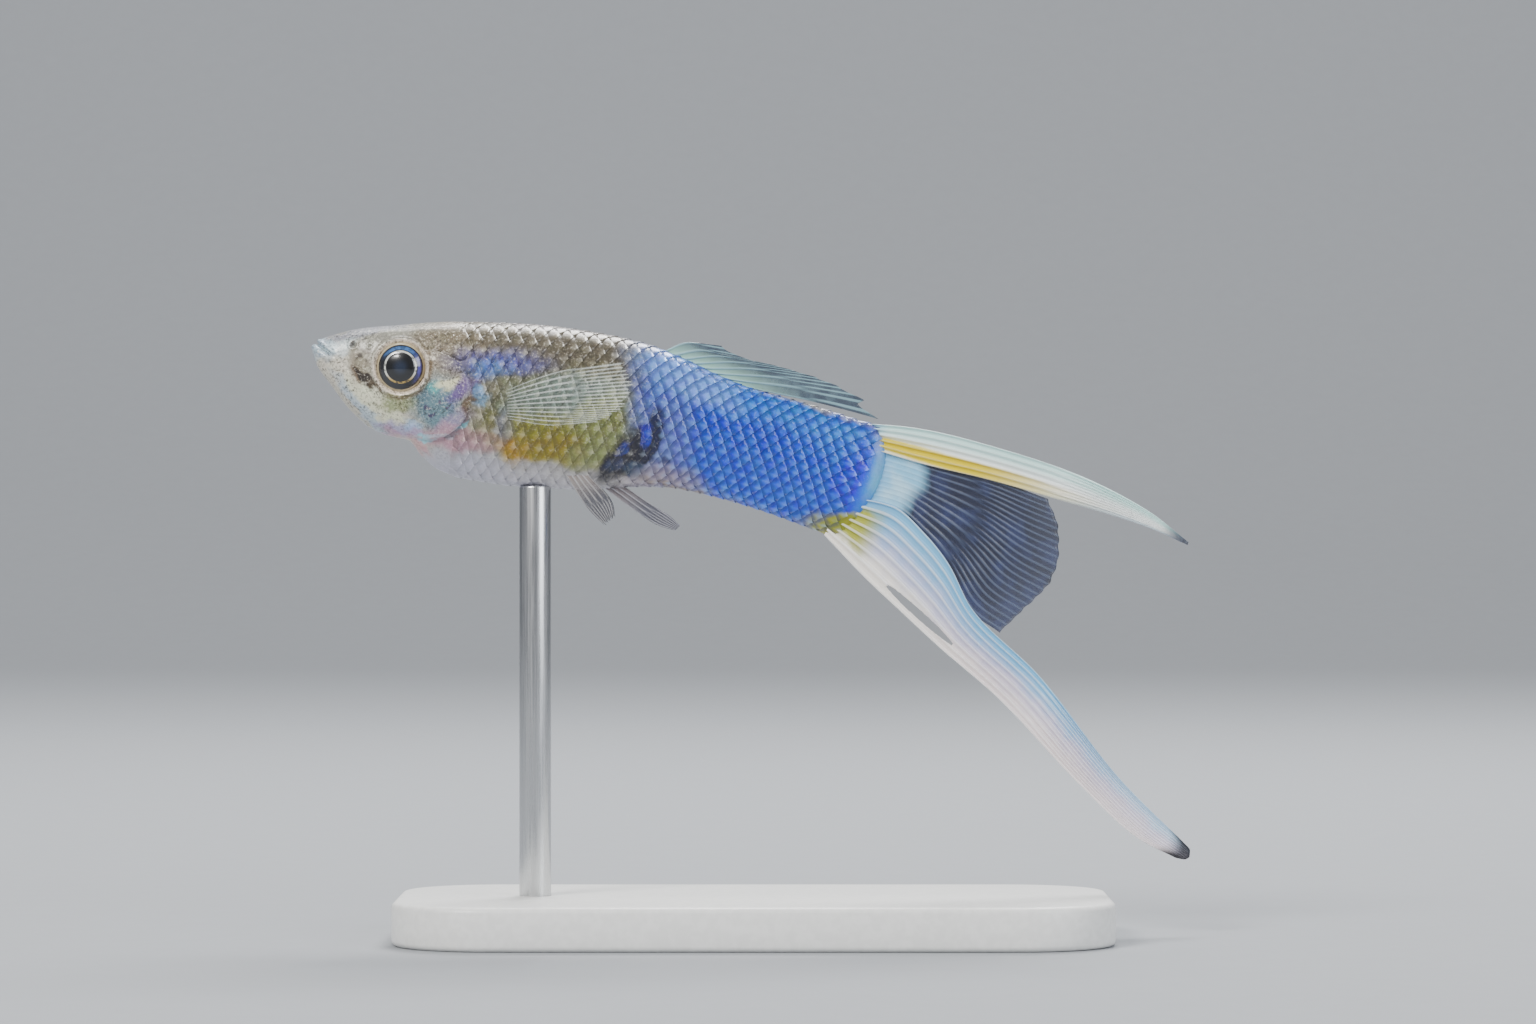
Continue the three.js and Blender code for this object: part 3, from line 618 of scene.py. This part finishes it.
def scales(side):
    share = np.linspace(0, 1, PLATE_STEPS + 1)
    p, q = (axis.ravel() for axis in np.meshgrid(share, 2 * share - 1, indexing="ij"))
    # How far each point lies past the rims of the plates ahead, as a share of the plate's length
    open_from = p - 0.49 - 0.25 * (1 - (1 - np.abs(q)) ** 2)
    round_end = np.sqrt(np.maximum(0, 1 - (np.maximum(p - 0.52, 0) / 0.48) ** 2.4))
    narrow = 0.72 + 0.28 * ease(p, 0, 0.4)
    one_plate = plate_faces()
    points, faces, plates, unwrap = [], [], [], []
    for along, turn in scale_starts():
        if (turn > 0.5) != (side == "right"):
            continue
        reach = PLATE_LENGTH * rng.uniform(0.96, 1.04)
        s = along - 0.35 * reach + p * reach - 0.06 * reach * q * q * p
        t = turn + q * 1.12 * ROW_TURN * round_end * narrow
        small = 1 - 0.5 * ease(np.abs(turn - 0.5), 0.4, 0.5)
        flat = 0.55 + 0.45 * ease(along, 11, 16)
        lift = -0.01 + (-0.105 + 0.12 * p - 0.02 * q * q) * flat * (0.5 + 0.5 * small)
        spot, normal = body_point(s, t), body_normal(s, t)
        over = np.clip((s - CREST_START) / (SKIN_END - CREST_START), 0, 1)
        spot[:, 0] += over * CREST_BULGE * 0.45
        spot[:, 1] *= np.sqrt(np.maximum(0, 1 - over**2))
        glint = np.full(len(p), rng.uniform())
        u, v = unwrapped(along, turn)
        faces += [[k + len(points) * len(p) for k in ring] for ring in one_plate]
        for level in (lift, lift - PLATE_THICK):
            moved = spot + normal * level[:, None]
            points.append(place(moved[:, 0], moved[:, 1], moved[:, 2]))
            plates.append(np.stack((p, open_from, glint), -1))
            unwrap.append(np.stack((u + (p - 0.5) * PLATE_PATCH[0], v + q * PLATE_PATCH[1]), -1))
    mesh = bpy.data.meshes.new("scales_" + side)
    mesh.from_pydata((np.concatenate(points) * MM).tolist(), [], faces)
    piece = bpy.data.objects.new("scales_" + side, mesh)
    bpy.context.scene.collection.objects.link(piece)
    keep(piece, "plate", np.concatenate(plates))
    bake_map(piece, *np.concatenate(unwrap).T)
    tidy(piece, 0.00001)
    return piece


# Eyes: a clear-coated ball with its pupil, silver ring and dark iris painted round its axis
EYE_RADIUS = 1.27
EYE_BULGE = 0.74  # half the ball's thickness
EYE_DEPTH = 1.5  # of its centre, from the fish's middle plane
EYE_TURN = 0.15  # radians forwards


def eye_material(side):
    # Glass-clear lacquer over a painted iris: a hazy pupil, a thin silver ring and a dark iris, with blue
    # painted light on its upper and rear parts
    material, node = new_material(
        "lacquered_eye_" + side, Roughness=0.25, Coat_Weight=1.0, Coat_Roughness=0.03
    )
    spots = node("object")
    (x, _, z), away = round_eye(node, spots)
    streaks = node("noise", spots, grain(0.2), 3.0)
    band = node("MULTIPLY", node("ease", away, 0.84, 0.92), node("ease", away, 1.1, 1.0))
    band = node("MULTIPLY", band, node("ease", streaks, 0.35, 0.6, 0.4, 1))
    iris = "#070912"
    # Painted light: blue on the iris's upper and rear parts
    for axis, start, strength, paint in ((z, 0.3, 0.85, "#4a78b4"), (x, 0.5, 0.8, "#4b45a8")):
        lit = node("MULTIPLY", band, node("ease", axis, start, 0.95, 0, strength))
        iris = node("mix", lit, iris, paint)
    ring = node("mix", node("ease", z, -0.3, -0.7), "#cfd0c8", "#b89a4e")
    ring = node("mix", node("ease", streaks, 0.5, 0.62, 0, 0.8), ring, "#1a1a20")
    pupil = node("mix", node("ease", away, 0.5, 0.1), "#020306", "#1a2436")
    colour = node("mix", node("ease", away, 0.72, 0.76), pupil, ring)
    colour = node("mix", node("ease", away, 0.81, 0.85), colour, iris)
    colour = node("mix", node("ease", away, 1.1, 1.15), colour, "#b5a888")
    return wired(material, Base_Color=colour)


def eye(side):
    bpy.ops.object.select_all(action="DESELECT")
    bpy.ops.mesh.primitive_uv_sphere_add(segments=64, ring_count=40, radius=1, rotation=(math.pi / 2, 0, 0))
    piece = bpy.context.object
    piece.name = piece.data.name = "eyeball_" + side
    bpy.ops.object.transform_apply(location=True, rotation=True, scale=True)
    sign = -1 if side == "left" else 1
    x, y, z = points_of(piece).T
    x, z = x * EYE_RADIUS, z * EYE_RADIUS
    away = np.hypot(x, z)
    depth = np.abs(y) * EYE_BULGE + 0.03 * bump(away - 0.76, 0.05) - 0.03 * bump(away - 1.0, 0.14)
    y = np.sign(y) * depth
    turn = sign * EYE_TURN
    x, y = x * math.cos(turn) - y * math.sin(turn), x * math.sin(turn) + y * math.cos(turn)
    move_points(piece, place(x + EYE[0], y + sign * EYE_DEPTH, z + EYE[1]))
    tidy(piece, 0.0005)
    return finished(piece, eye_material(side), "eye", "eye_" + side)


# Fins: thin webs with raised, branching rays
def ray_relief(across, along, rays):
    """1 on a ray and 0 on the membrane. Each ray splits in two towards the edge."""
    whole = (0.5 + 0.5 * np.cos(2 * math.pi * across * (rays - 1))) ** 3
    split = (0.5 - 0.5 * np.cos(4 * math.pi * across * (rays - 1))) ** 2
    share = ease(along, 0.45, 0.75)
    return whole * (1 - share) + split * share


def fin(name, root, edge, first, last, rays, size, thick, out=None, ragged=0.0, slit=None):
    """A sheet between its root, its free edge and its two side rays, each given as share to x, z."""
    piece, u, v = grid(name, *size)
    frays = 24
    jag = ragged * (0.5 - 0.5 * np.cos(2 * math.pi * u * (rays - 1)))
    jag += ragged * 0.8 * np.interp(u, np.linspace(0, 1, frays), rng.uniform(0, 1, frays))
    w = v * (1 - jag * (u > 1e-6) * (u < 1 - 1e-6))
    cu, cw = u[:, None], w[:, None]
    spot = (1 - cw) * root(u) + cw * edge(u) + (1 - cu) * first(w) + cu * last(w)
    r0, r1, e0, e1 = (f(np.array([t]))[0] for f in (root, edge) for t in (0.0, 1.0))
    spot -= (1 - cu) * ((1 - cw) * r0 + cw * e0) + cu * ((1 - cw) * r1 + cw * e1)
    x, z = spot.T
    away = np.zeros_like(x) if out is None else out(x, z, w)
    ridge = ray_relief(u, w, rays)
    keep(piece, "spread", np.stack((u, w, ridge), -1))
    move_points(piece, place(x, away, z))
    group = piece.vertex_groups.new(name="ray")
    taper = (1 - 0.75 * ease(v, 0.55, 1)) * (1 - 0.5 * ease(np.abs(2 * u - 1), 0.97, 1))
    weight = (0.35 + 0.65 * ridge) * taper * (1 + 0.4 * (1 - ease(v, 0, 0.2)))
    levels = 40
    steps = np.round(np.clip(weight, 1 / levels, 1) * levels)
    for level in range(1, levels + 1):
        group.add(np.flatnonzero(steps == level).tolist(), level / levels, "REPLACE")
    if slit is not None:
        cut_slit(piece, x, away, z, *slit)
    apply_modifier(
        piece, "SOLIDIFY", thickness=thick * MM, offset=0, vertex_group="ray", thickness_vertex_group=0.05
    )
    tidy(piece, 0.0001)
    return piece


def cut_slit(piece, x, y, z, start, end, half):
    """Opens a narrow tear between two rays: its rim is moved onto an ellipse and the inside removed."""
    start, end = np.array(start), np.array(end)
    middle, reach = (start + end) / 2, np.hypot(*(end - start)) / 2
    ux, uz = (end - start) / (2 * reach)
    a = ((x - middle[0]) * ux + (z - middle[1]) * uz) / reach
    b = ((middle[0] - x) * uz + (z - middle[1]) * ux) / half
    level = np.hypot(a, b)
    on_ellipse = np.sqrt(np.maximum(1 - a**2, 0)) * np.where(b < 0, -1, 1)
    mesh = piece.data
    gone, kept = [], set()
    for face in mesh.polygons:
        corners = list(face.vertices)
        if level[corners].mean() < 1:
            gone.append(face.index)
        else:
            kept.update(corners)
    rim = np.array([i for i in np.flatnonzero(level < 1) if i in kept], int)
    x, z = x.copy(), z.copy()
    x[rim] = middle[0] + a[rim] * reach * ux - on_ellipse[rim] * half * uz
    z[rim] = middle[1] + a[rim] * reach * uz + on_ellipse[rim] * half * ux
    move_points(piece, place(x, y, z))
    pick(piece, "FACE", mesh.polygons, gone)
    bpy.ops.mesh.delete(type="FACE")
    bpy.ops.mesh.select_mode(type="VERT")
    bpy.ops.object.mode_set(mode="OBJECT")


def straight(a, b):
    a, b = np.array(a, float), np.array(b, float)
    return lambda share: a + (b - a) * np.asarray(share)[..., None]


def fin_material(name, **values):
    # Cast translucent film over fine ribs, with a thin wet coat
    material, node = new_material(name, Roughness=0.35, Coat_Weight=0.3, Coat_Roughness=0.15, **values)
    across, along, ridge = node("axes", node("attribute", attribute_name="spread"))
    return material, node, across, along, ridge, node("object")


def clear_fin_material(name, base, membrane, ray, root_alpha, alpha, ray_alpha):
    """A clear film that is denser at its root and on its rays."""
    material, node, _, along, ridge, spots = fin_material(name)
    cloud = node("noise", spots, grain(0.7), 3.0)
    colour = node("mix", node("ease", along, 0.05, 0.6), base, membrane)
    colour = node("mix", node("ease", cloud, 0.4, 0.75, 0, 0.25), colour, ray)
    colour = node("mix", node("ease", ridge, 0.25, 0.8, 0, 0.8), colour, ray)
    film = node("ease", along, 0.0, 0.35, root_alpha, alpha)
    rays = node("MULTIPLY", node("ease", ridge, 0.2, 0.85), ray_alpha - alpha)
    return wired(material, Base_Color=colour, Alpha=node("MINIMUM", node("ADD", film, rays), 1.0))


# Tail: its root follows the stalk's end, where share 0 is the back and 1 the belly
TAIL_ROOT = 27.9
TAIL_TOP = BACK(np.array(28.0))
TAIL_HEIGHT = TAIL_TOP + BELLY(np.array(28.0))


def stalk_end(share):
    return np.stack(from_axis(TAIL_ROOT, TAIL_TOP - np.asarray(share) * TAIL_HEIGHT), -1)


def tail_root(start, end):
    return lambda share: stalk_end(start + (end - start) * np.asarray(share))


def upper_sword():
    start, end = 0.0, 0.2
    top, bottom = (44.35, -9.6), (44.3, -9.75)
    back_edge = [(29.6, -3.72), (31.3, -3.98), (34.3, -4.74), (38.6, -6.15), (42.2, -7.96)]
    web_edge = [(30.7, -5.62), (34, -6.4), (37.2, -7.3), (42.2, -8.82)]
    piece = fin(
        "upper_sword_fin",
        root=tail_root(start, end),
        edge=straight(top, bottom),
        first=path([stalk_end(start), *back_edge, top]),
        last=path([stalk_end(end), *web_edge, bottom]),
        rays=6, size=(60, 110), thick=0.5,
    )
    material, node, across, along, ridge, spots = fin_material("pearl_sword_film", Metallic=0.05)
    cloud = node("noise", spots, grain(0.5), 3.0)
    colour = node("mix", node("ease", across, 0.15, 0.6), "#c9ebe6", "#f3f7f5")
    grey = node("MULTIPLY", node("ease", across, 0.8, 0.98, 0, 0.8), node("ease", along, 0.3, 0.55))
    colour = node("mix", grey, colour, "#a8bcc8")
    faint = node("ease", along, 0.85, 0.5, 0, 0.35)
    faint = node("MULTIPLY", faint, node("ease", across, 0.5, 0.8))
    colour = node("mix", faint, colour, "#d8c99a")
    middle = node("MULTIPLY_ADD", cloud, 0.05, node("ease", along, 0.0, 0.35, 0.66, 0.78))
    from_middle = node("ABSOLUTE", node("SUBTRACT", across, middle))
    streak = node("ease", from_middle, 0.27, 0.15)
    for start_at, full_at in ((0.72, 0.3), (0.0, 0.05)):
        streak = node("MULTIPLY", streak, node("ease", along, start_at, full_at))
    colour = node("mix", streak, colour, "#dcc600")
    colour = node("mix", node("ease", along, 0.06, 0.0, 0, 0.8), colour, "#93c4de")
    colour = node("mix", node("ease", ridge, 0.2, 0.7, 0, 0.14), colour, "#ffffff")
    colour = node("mix", node("ease", along, 0.9, 0.99, 0, 0.9), colour, "#39456b")
    wired(material, Base_Color=colour, Alpha=node("ease", along, 0.9, 1.0, 1.0, 0.55))
    return finished(piece, material, "upper_sword", "tail_upper_sword")


def lower_sword():
    start, end = 0.64, 1.0
    inner, outer = (44.2, -25.0), (43.7, -25.68)
    web_edge = [(29.2, -7.75), (30.9, -9.2), (32.1, -10.75), (33.2, -12.9), (36.7, -16.4), (40.8, -21.6)]
    keel_edge = [
        (27.8, -11.35), (29.55, -13), (31.6, -14.9), (34.6, -17.5), (38.8, -21.95), (41.8, -24.7),
    ]
    slit_start, slit_end, slit_half = (28.9, -11.75), (32.3, -14.8), 0.21
    piece = fin(
        "lower_sword_fin",
        root=tail_root(start, end),
        edge=path([inner, (44.42, -25.3), (44.4, -25.6), (44.15, -25.76), outer]),
        first=path([stalk_end(start), *web_edge, inner]),
        last=path([stalk_end(end), *keel_edge, outer]),
        rays=8, size=(110, 170), thick=0.5,
        slit=(slit_start, slit_end, slit_half),
    )
    material, node, across, along, ridge, spots = fin_material("blue_sword_film", Metallic=0.05)
    cloud = node("noise", spots, grain(0.8), 4.0)
    wide = node("MULTIPLY_ADD", node("SUBTRACT", cloud, 0.5), 0.35, across)
    colour = node("mix", node("ease", wide, 0.1, 0.62), "#6fb6de", "#b3b9dc")
    colour = node("mix", node("ease", wide, 0.45, 0.9), colour, "#f1ebe2")
    colour = node("mix", node("ease", along, 0.55, 0.85, 0, 0.35), colour, "#eeeef4")
    pink = node("MULTIPLY", node("ease", wide, 0.3, 0.6), node("ease", along, 0.15, 0.5, 0, 0.45))
    colour = node("mix", pink, colour, "#d8c2cf")
    root = node("MULTIPLY", node("ease", along, 0.16, 0.02), node("ease", wide, 0.65, 0.35))
    colour = node("mix", root, colour, "#6eaedc")
    olive = node("MULTIPLY", node("ease", along, 0.12, 0.06), node("ease", wide, 0.05, 0.3))
    olive = node("MULTIPLY", olive, node("ease", wide, 0.9, 0.7))
    colour = node("mix", olive, colour, "#a6a83a")
    colour = node("mix", node("ease", ridge, 0.2, 0.8, 0, 0.4), colour, "#ffffff")
    colour = node("mix", node("ease", along, 0.94, 0.985, 0, 0.95), colour, "#1d1c26")
    wired(material, Base_Color=colour)
    return finished(piece, material, "lower_sword", "tail_lower_sword")


def web_fin():
    start, end = 0.16, 0.68
    top, bottom = (37.15, -7.4), (34.7, -14.2)
    piece = fin(
        "web_fin",
        root=tail_root(start, end),
        edge=path([top, (37.7, -8.9), (37.75, -10.1), (37.3, -11.6), (36.1, -12.85), bottom]),
        first=path([stalk_end(start), (30.7, -5.5), (34, -6.28), top]),
        last=path([stalk_end(end), (29.1, -7.9), (30.75, -9.3), (31.95, -10.85), (33.1, -13), bottom]),
        rays=12, size=(176, 60), thick=0.1,
        ragged=0.005,
    )
    material, node, across, along, ridge, spots = fin_material("smoky_web_film")
    cloud = node("noise", spots, grain(1.1), 4.0)
    reach = node("MULTIPLY_ADD", node("SUBTRACT", cloud, 0.5), 0.12, along)
    dark = node("ease", node("MULTIPLY_ADD", across, 0.03, reach), 0.27, 0.36)
    colour = node("mix", node("ease", cloud, 0.35, 0.7), "#7fbfe0", "#a9d4ea")
    colour = node("mix", node("ease", along, 0.2, 0.0), colour, "#5f9ee0")
    film = node("mix", node("ease", cloud, 0.4, 0.7), "#151b36", "#25305a")
    film = node("mix", node("ease", ridge, 0.2, 0.8, 0, 0.25), film, "#3c4a74")
    colour = node("mix", dark, colour, film)
    colour = node("mix", node("ease", ridge, 0.3, 0.9, 0, 0.1), colour, "#c8dcec")
    clear = node("MULTIPLY_ADD", ridge, 0.1, 0.78)
    clear = node("SUBTRACT", clear, node("ease", along, 0.7, 1.0, 0, 0.2))
    wired(material, Base_Color=colour, Alpha=node("mix numbers", dark, 1.0, clear))
    return finished(piece, material, "dark_fin", "tail_web")


def over_back(start, end, rise):
    """A line along the back, from 0.15 mm under the skin, that gains the rise by its end."""
    def at(share):
        along = start + (end - start) * np.asarray(share)
        return np.stack(from_axis(along, BACK(along) - 0.15 + rise * np.asarray(share)), -1)

    return at


def dorsal_fin():
    root, last = over_back(17.1, 20.4, 0), over_back(20.4, 28.1, 0.5)
    front, tip, peak = root(0.0), last(1.0), (20.6, 0.32)
    piece = fin(
        "dorsal_fin_film",
        root=root,
        edge=path([peak, (21.8, -0.3), (23.6, -0.72), (26, -1.45), (27.8, -2.4), tip]),
        first=path([front, (18.9, 0.5), peak]),
        last=last,
        rays=8, size=(112, 70), thick=0.2,
        ragged=0.05,
    )
    material = clear_fin_material("dorsal_film", "#9fcabb", "#22384f", "#8fb4bd", 0.95, 0.6, 0.85)
    return finished(piece, material, "clear_fin", "dorsal_fin")


def side_at(x, z):
    """Half the body's width at a side-view place."""
    along, height = to_axis(x, z)
    widest = WIDEST * (BACK(along) - BELLY(along)) / 2
    over = height >= widest
    power = np.where(over, SQUARE_BACK(along), SQUARE_BELLY(along))
    reach = np.where(over, BACK(along) - widest, BELLY(along) + widest)
    t = np.minimum(1, np.abs(height - widest) / reach)
    return HALF_WIDTH(along) * (1 - t**power) ** (1 / power)


def pectoral_fin(side):
    sign = -1 if side == "left" else 1
    top, bottom, top_tip, bottom_tip = (9.4, -2.15), (9.55, -3.35), (15.9, -0.55), (14.6, -3.6)
    sunk, clear, flare = 0.3, 1.0, 1.5  # at the root, close behind it, and by the edge

    def off_side(x, z, v):
        return sign * (side_at(x, z) - sunk + clear * ease(v, 0, 0.24) + flare * v * v)

    piece = fin(
        "pectoral_film_" + side,
        root=straight(top, bottom),
        edge=path([top_tip, (16.4, -1.6), (15.9, -2.8), bottom_tip]),
        first=path([top, (12.8, -1), top_tip]),
        last=path([bottom, (12.3, -3.75), bottom_tip]),
        rays=11, size=(132, 48), thick=0.13,
        out=off_side,
        ragged=0.05,
    )
    material = clear_fin_material("pectoral_film", "#7f8a78", "#8fa09c", "#e9eeea", 0.18, 0.04, 0.3)
    return finished(piece, material, "clear_fin", "pectoral_fin_" + side)


def under_belly(start, end, side, drop):
    """A line along the belly, at some distance from the middle plane and under the skin."""
    def at(share):
        along = start + (end - start) * np.asarray(share)
        widest = WIDEST * (BACK(along) - BELLY(along)) / 2
        t, power = side / HALF_WIDTH(along), SQUARE_BELLY(along)
        height = widest - (BELLY(along) + widest) * (1 - t**power) ** (1 / power)
        return np.stack(from_axis(along, height - drop), -1)

    return at


def pelvic_fin(side):
    sign = -1 if side == "left" else 1
    aside, splay = 1.05, 0.35
    root = under_belly(13.9, 15.0, aside, -0.2)
    front_tip, rear_tip = (14.75, -8.75), (15.2, -8.35)
    piece = fin(
        "pelvic_film_" + side,
        root=root,
        edge=straight(front_tip, rear_tip),
        first=path([root(0.0), (13.9, -7.9), front_tip]),
        last=path([root(1.0), (15.1, -7.7), rear_tip]),
        rays=5, size=(48, 36), thick=0.16,
        out=lambda x, z, v: sign * (aside + splay * v),
        ragged=0.06,
    )
    material = clear_fin_material("pelvic_film", "#8a807c", "#55565e", "#a09e9e", 0.9, 0.5, 0.8)
    return finished(piece, material, "clear_fin", "pelvic_fin_" + side)


def gonopodium():
    root = under_belly(15.8, 16.85, 0.0, -0.25)
    front_tip, rear_tip = (18.25, -9), (18.5, -8.75)
    piece = fin(
        "gonopodium_rays",
        root=root,
        edge=straight(front_tip, rear_tip),
        first=path([root(0.0), (16.3, -8.05), (17.4, -8.75), front_tip]),
        last=path([root(1.0), (17, -7.65), (17.9, -8.2), rear_tip]),
        rays=4, size=(36, 60), thick=0.36,
    )
    material = clear_fin_material("gonopodium_film", "#948a8c", "#5c5d68", "#a4a3aa", 1.0, 0.75, 0.95)
    return finished(piece, material, "clear_fin", "gonopodium")


# Stand: a lacquered plate and a thin steel rod that ends in the belly
PLATE_CORNER, PLATE_EDGE = 5, 0.3  # radii, in millimetres
ROD_EDGE = 0.12
ROD_BURIED = 0.45  # how far the rod goes on past its solid's top, to end in the belly
ROD_SUNK = 0.5  # and past its solid's foot, to stand in the plate


def rounded(piece, name, width):
    """Names a stand part and rounds its sharp edges."""
    piece.name = piece.data.name = name
    apply_modifier(piece, "BEVEL", width=width * MM, segments=3, limit_method="ANGLE", angle_limit=1.0)
    bpy.ops.object.shade_smooth_by_angle(angle=math.radians(40))


def stand_plate():
    low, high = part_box("stand_base")
    bpy.ops.object.select_all(action="DESELECT")
    bpy.ops.mesh.primitive_cube_add(size=1, location=(low + high) / 2, scale=high - low)
    piece = bpy.context.object
    bpy.ops.object.transform_apply(location=True, rotation=True, scale=True)
    heights = points_of(piece)[:, 2]
    edges = piece.data.edges
    upright = [edge.index for edge in edges if np.ptp(heights[list(edge.vertices)]) > 1e-5]
    pick(piece, "EDGE", edges, upright)
    bpy.ops.mesh.bevel(offset=PLATE_CORNER * MM, segments=16, affect="EDGES")
    bpy.ops.mesh.select_mode(type="VERT")
    bpy.ops.object.mode_set(mode="OBJECT")
    rounded(piece, "stand_plate", PLATE_EDGE)
    # Satin lacquer sprayed on a moulded plate: a very fine orange peel about 0.4 mm across
    material, node = new_material("satin_lacquer", Roughness=0.42, Coat_Weight=0.15)
    peel = node("noise", node("object"), grain(0.4), 1.0)
    colour = node("mix", node("ease", peel, 0.3, 0.7), "#e4e4e1", "#ebebe8")
    wired(material, Base_Color=colour, Normal=node("bump", peel, 0.15, 0.01 * MM))
    return finished(piece, material, "stand_base", "stand_base")


def stand_post():
    low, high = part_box("stand_rod")
    middle = (low + high) / 2
    bottom, top = low.z - ROD_SUNK * MM, high.z + ROD_BURIED * MM
    place_at = (middle.x, middle.y, (top + bottom) / 2)
    bpy.ops.object.select_all(action="DESELECT")
    bpy.ops.mesh.primitive_cylinder_add(
        vertices=48, radius=(high.x - low.x) / 2, depth=top - bottom, location=place_at
    )
    piece = bpy.context.object
    bpy.ops.object.transform_apply(location=True, rotation=True, scale=True)
    rounded(piece, "stand_post", ROD_EDGE)
    # Drawn stainless steel wire: fine draw lines along its length, 0.08 mm apart and 50 times as long
    material, node = new_material("drawn_steel", Metallic=1.0, Roughness=0.28)
    lines = node("frame", node("object"), (0, 0, 0), UNTURNED, (1, 1, 50))
    drawn = node("noise", lines, grain(0.08), 2.0)
    colour = node("mix", drawn, "#b4b6b8", "#d0d1d2")
    wired(material, Base_Color=colour, Roughness=node("ease", drawn, 0.2, 0.8, 0.22, 0.36))
    return finished(piece, material, "stand_rod", "stand_rod")


# The studio: the camera stands where the photograph's did, level with the fish
CAMERA_AWAY = 0.29  # metres from the fish's middle plane
SENSOR = 36
SWEEP = {"front": -2.0, "rear": 0.5, "bend": 0.3, "top": 0.6, "width": 3}  # metres
LAMPS = (  # place, aim, size, power and tint of each soft light
    ((-0.22, -0.3, 0.32), (-0.002, 0, 0.024), 0.16, 2.6, (1, 0.98, 0.95)),
    ((0.3, -0.25, 0.16), (0.005, 0, 0.02), 0.22, 1.0, (0.93, 0.96, 1)),
    ((0.05, 0.2, 0.3), (0, 0, 0.02), 0.16, 1.6, (1, 1, 1)),
    ((0, 0.35, 0.75), (0, 0.75, 0.1), 0.5, 5.0, (1, 1, 1)),
)


def linked(name, data):
    made = bpy.data.objects.new(name, data)
    bpy.context.scene.collection.objects.link(made)
    return made


def camera():
    middle = photo_place(PHOTO[0] / 2, PHOTO[1] / 2)
    data = bpy.data.cameras.new("camera")
    data.sensor_width = SENSOR
    data.lens = SENSOR * CAMERA_AWAY / (PHOTO[0] * PIXEL * MM)
    data.clip_start, data.clip_end = 0.01, 5
    made = linked("camera", data)
    made.location = (middle[0], -CAMERA_AWAY, middle[2])
    made.rotation_euler = (math.pi / 2, 0, 0)
    bpy.context.scene.camera = made


def backdrop():
    flat_steps, bend_steps = 4, 24
    steps = 2 * flat_steps + bend_steps
    piece, u, v = grid("paper_sweep", 2, steps)
    run = v * steps
    turn = np.clip((run - flat_steps) / bend_steps, 0, 1) * math.pi / 2
    rise = np.clip((run - flat_steps - bend_steps) / flat_steps, 0, 1)
    y = SWEEP["front"] + np.clip(run / flat_steps, 0, 1) * (SWEEP["rear"] - SWEEP["front"])
    y += np.sin(turn) * SWEEP["bend"]
    z = (1 - np.cos(turn)) * SWEEP["bend"] + rise * SWEEP["top"]
    move_points(piece, np.stack(((u - 0.5) * SWEEP["width"], y, z), -1) / MM)
    bpy.ops.object.shade_smooth()
    # Seamless pale backdrop paper
    material, node = new_material("backdrop_paper", Roughness=0.85)
    fibre = node("noise", node("object"), grain(2.0), 3.0)
    wired(material, Base_Color=node("mix", fibre, "#93969a", "#979a9e"))
    piece.data.materials.clear()
    piece.data.materials.append(material)


def lights():
    for spot, aim, size, power, tint in LAMPS:
        data = bpy.data.lights.new("softbox", "AREA")
        data.size, data.energy, data.color = size, power, tint
        lamp = linked("softbox", data)
        lamp.location = spot
        x, y, z = np.subtract(aim, spot)
        lamp.rotation_euler = (math.atan2(math.hypot(x, y), -z), 0, math.atan2(y, x) - math.pi / 2)
    world = bpy.data.worlds.new("studio")
    bpy.context.scene.world = world
    world.use_nodes = True
    world.node_tree.nodes["Background"].inputs["Color"].default_value = (0.9, 0.93, 1, 1)
    world.node_tree.nodes["Background"].inputs["Strength"].default_value = 0.36


camera()
skin()
plates = scale_material()
for side in ("left", "right"):
    finished(scales(side), plates, "tail_stalk")
    eye(side)
    pectoral_fin(side)
    pelvic_fin(side)
dorsal_fin()
gonopodium()
upper_sword()
web_fin()
lower_sword()
stand_plate()
stand_post()
backdrop()
lights()
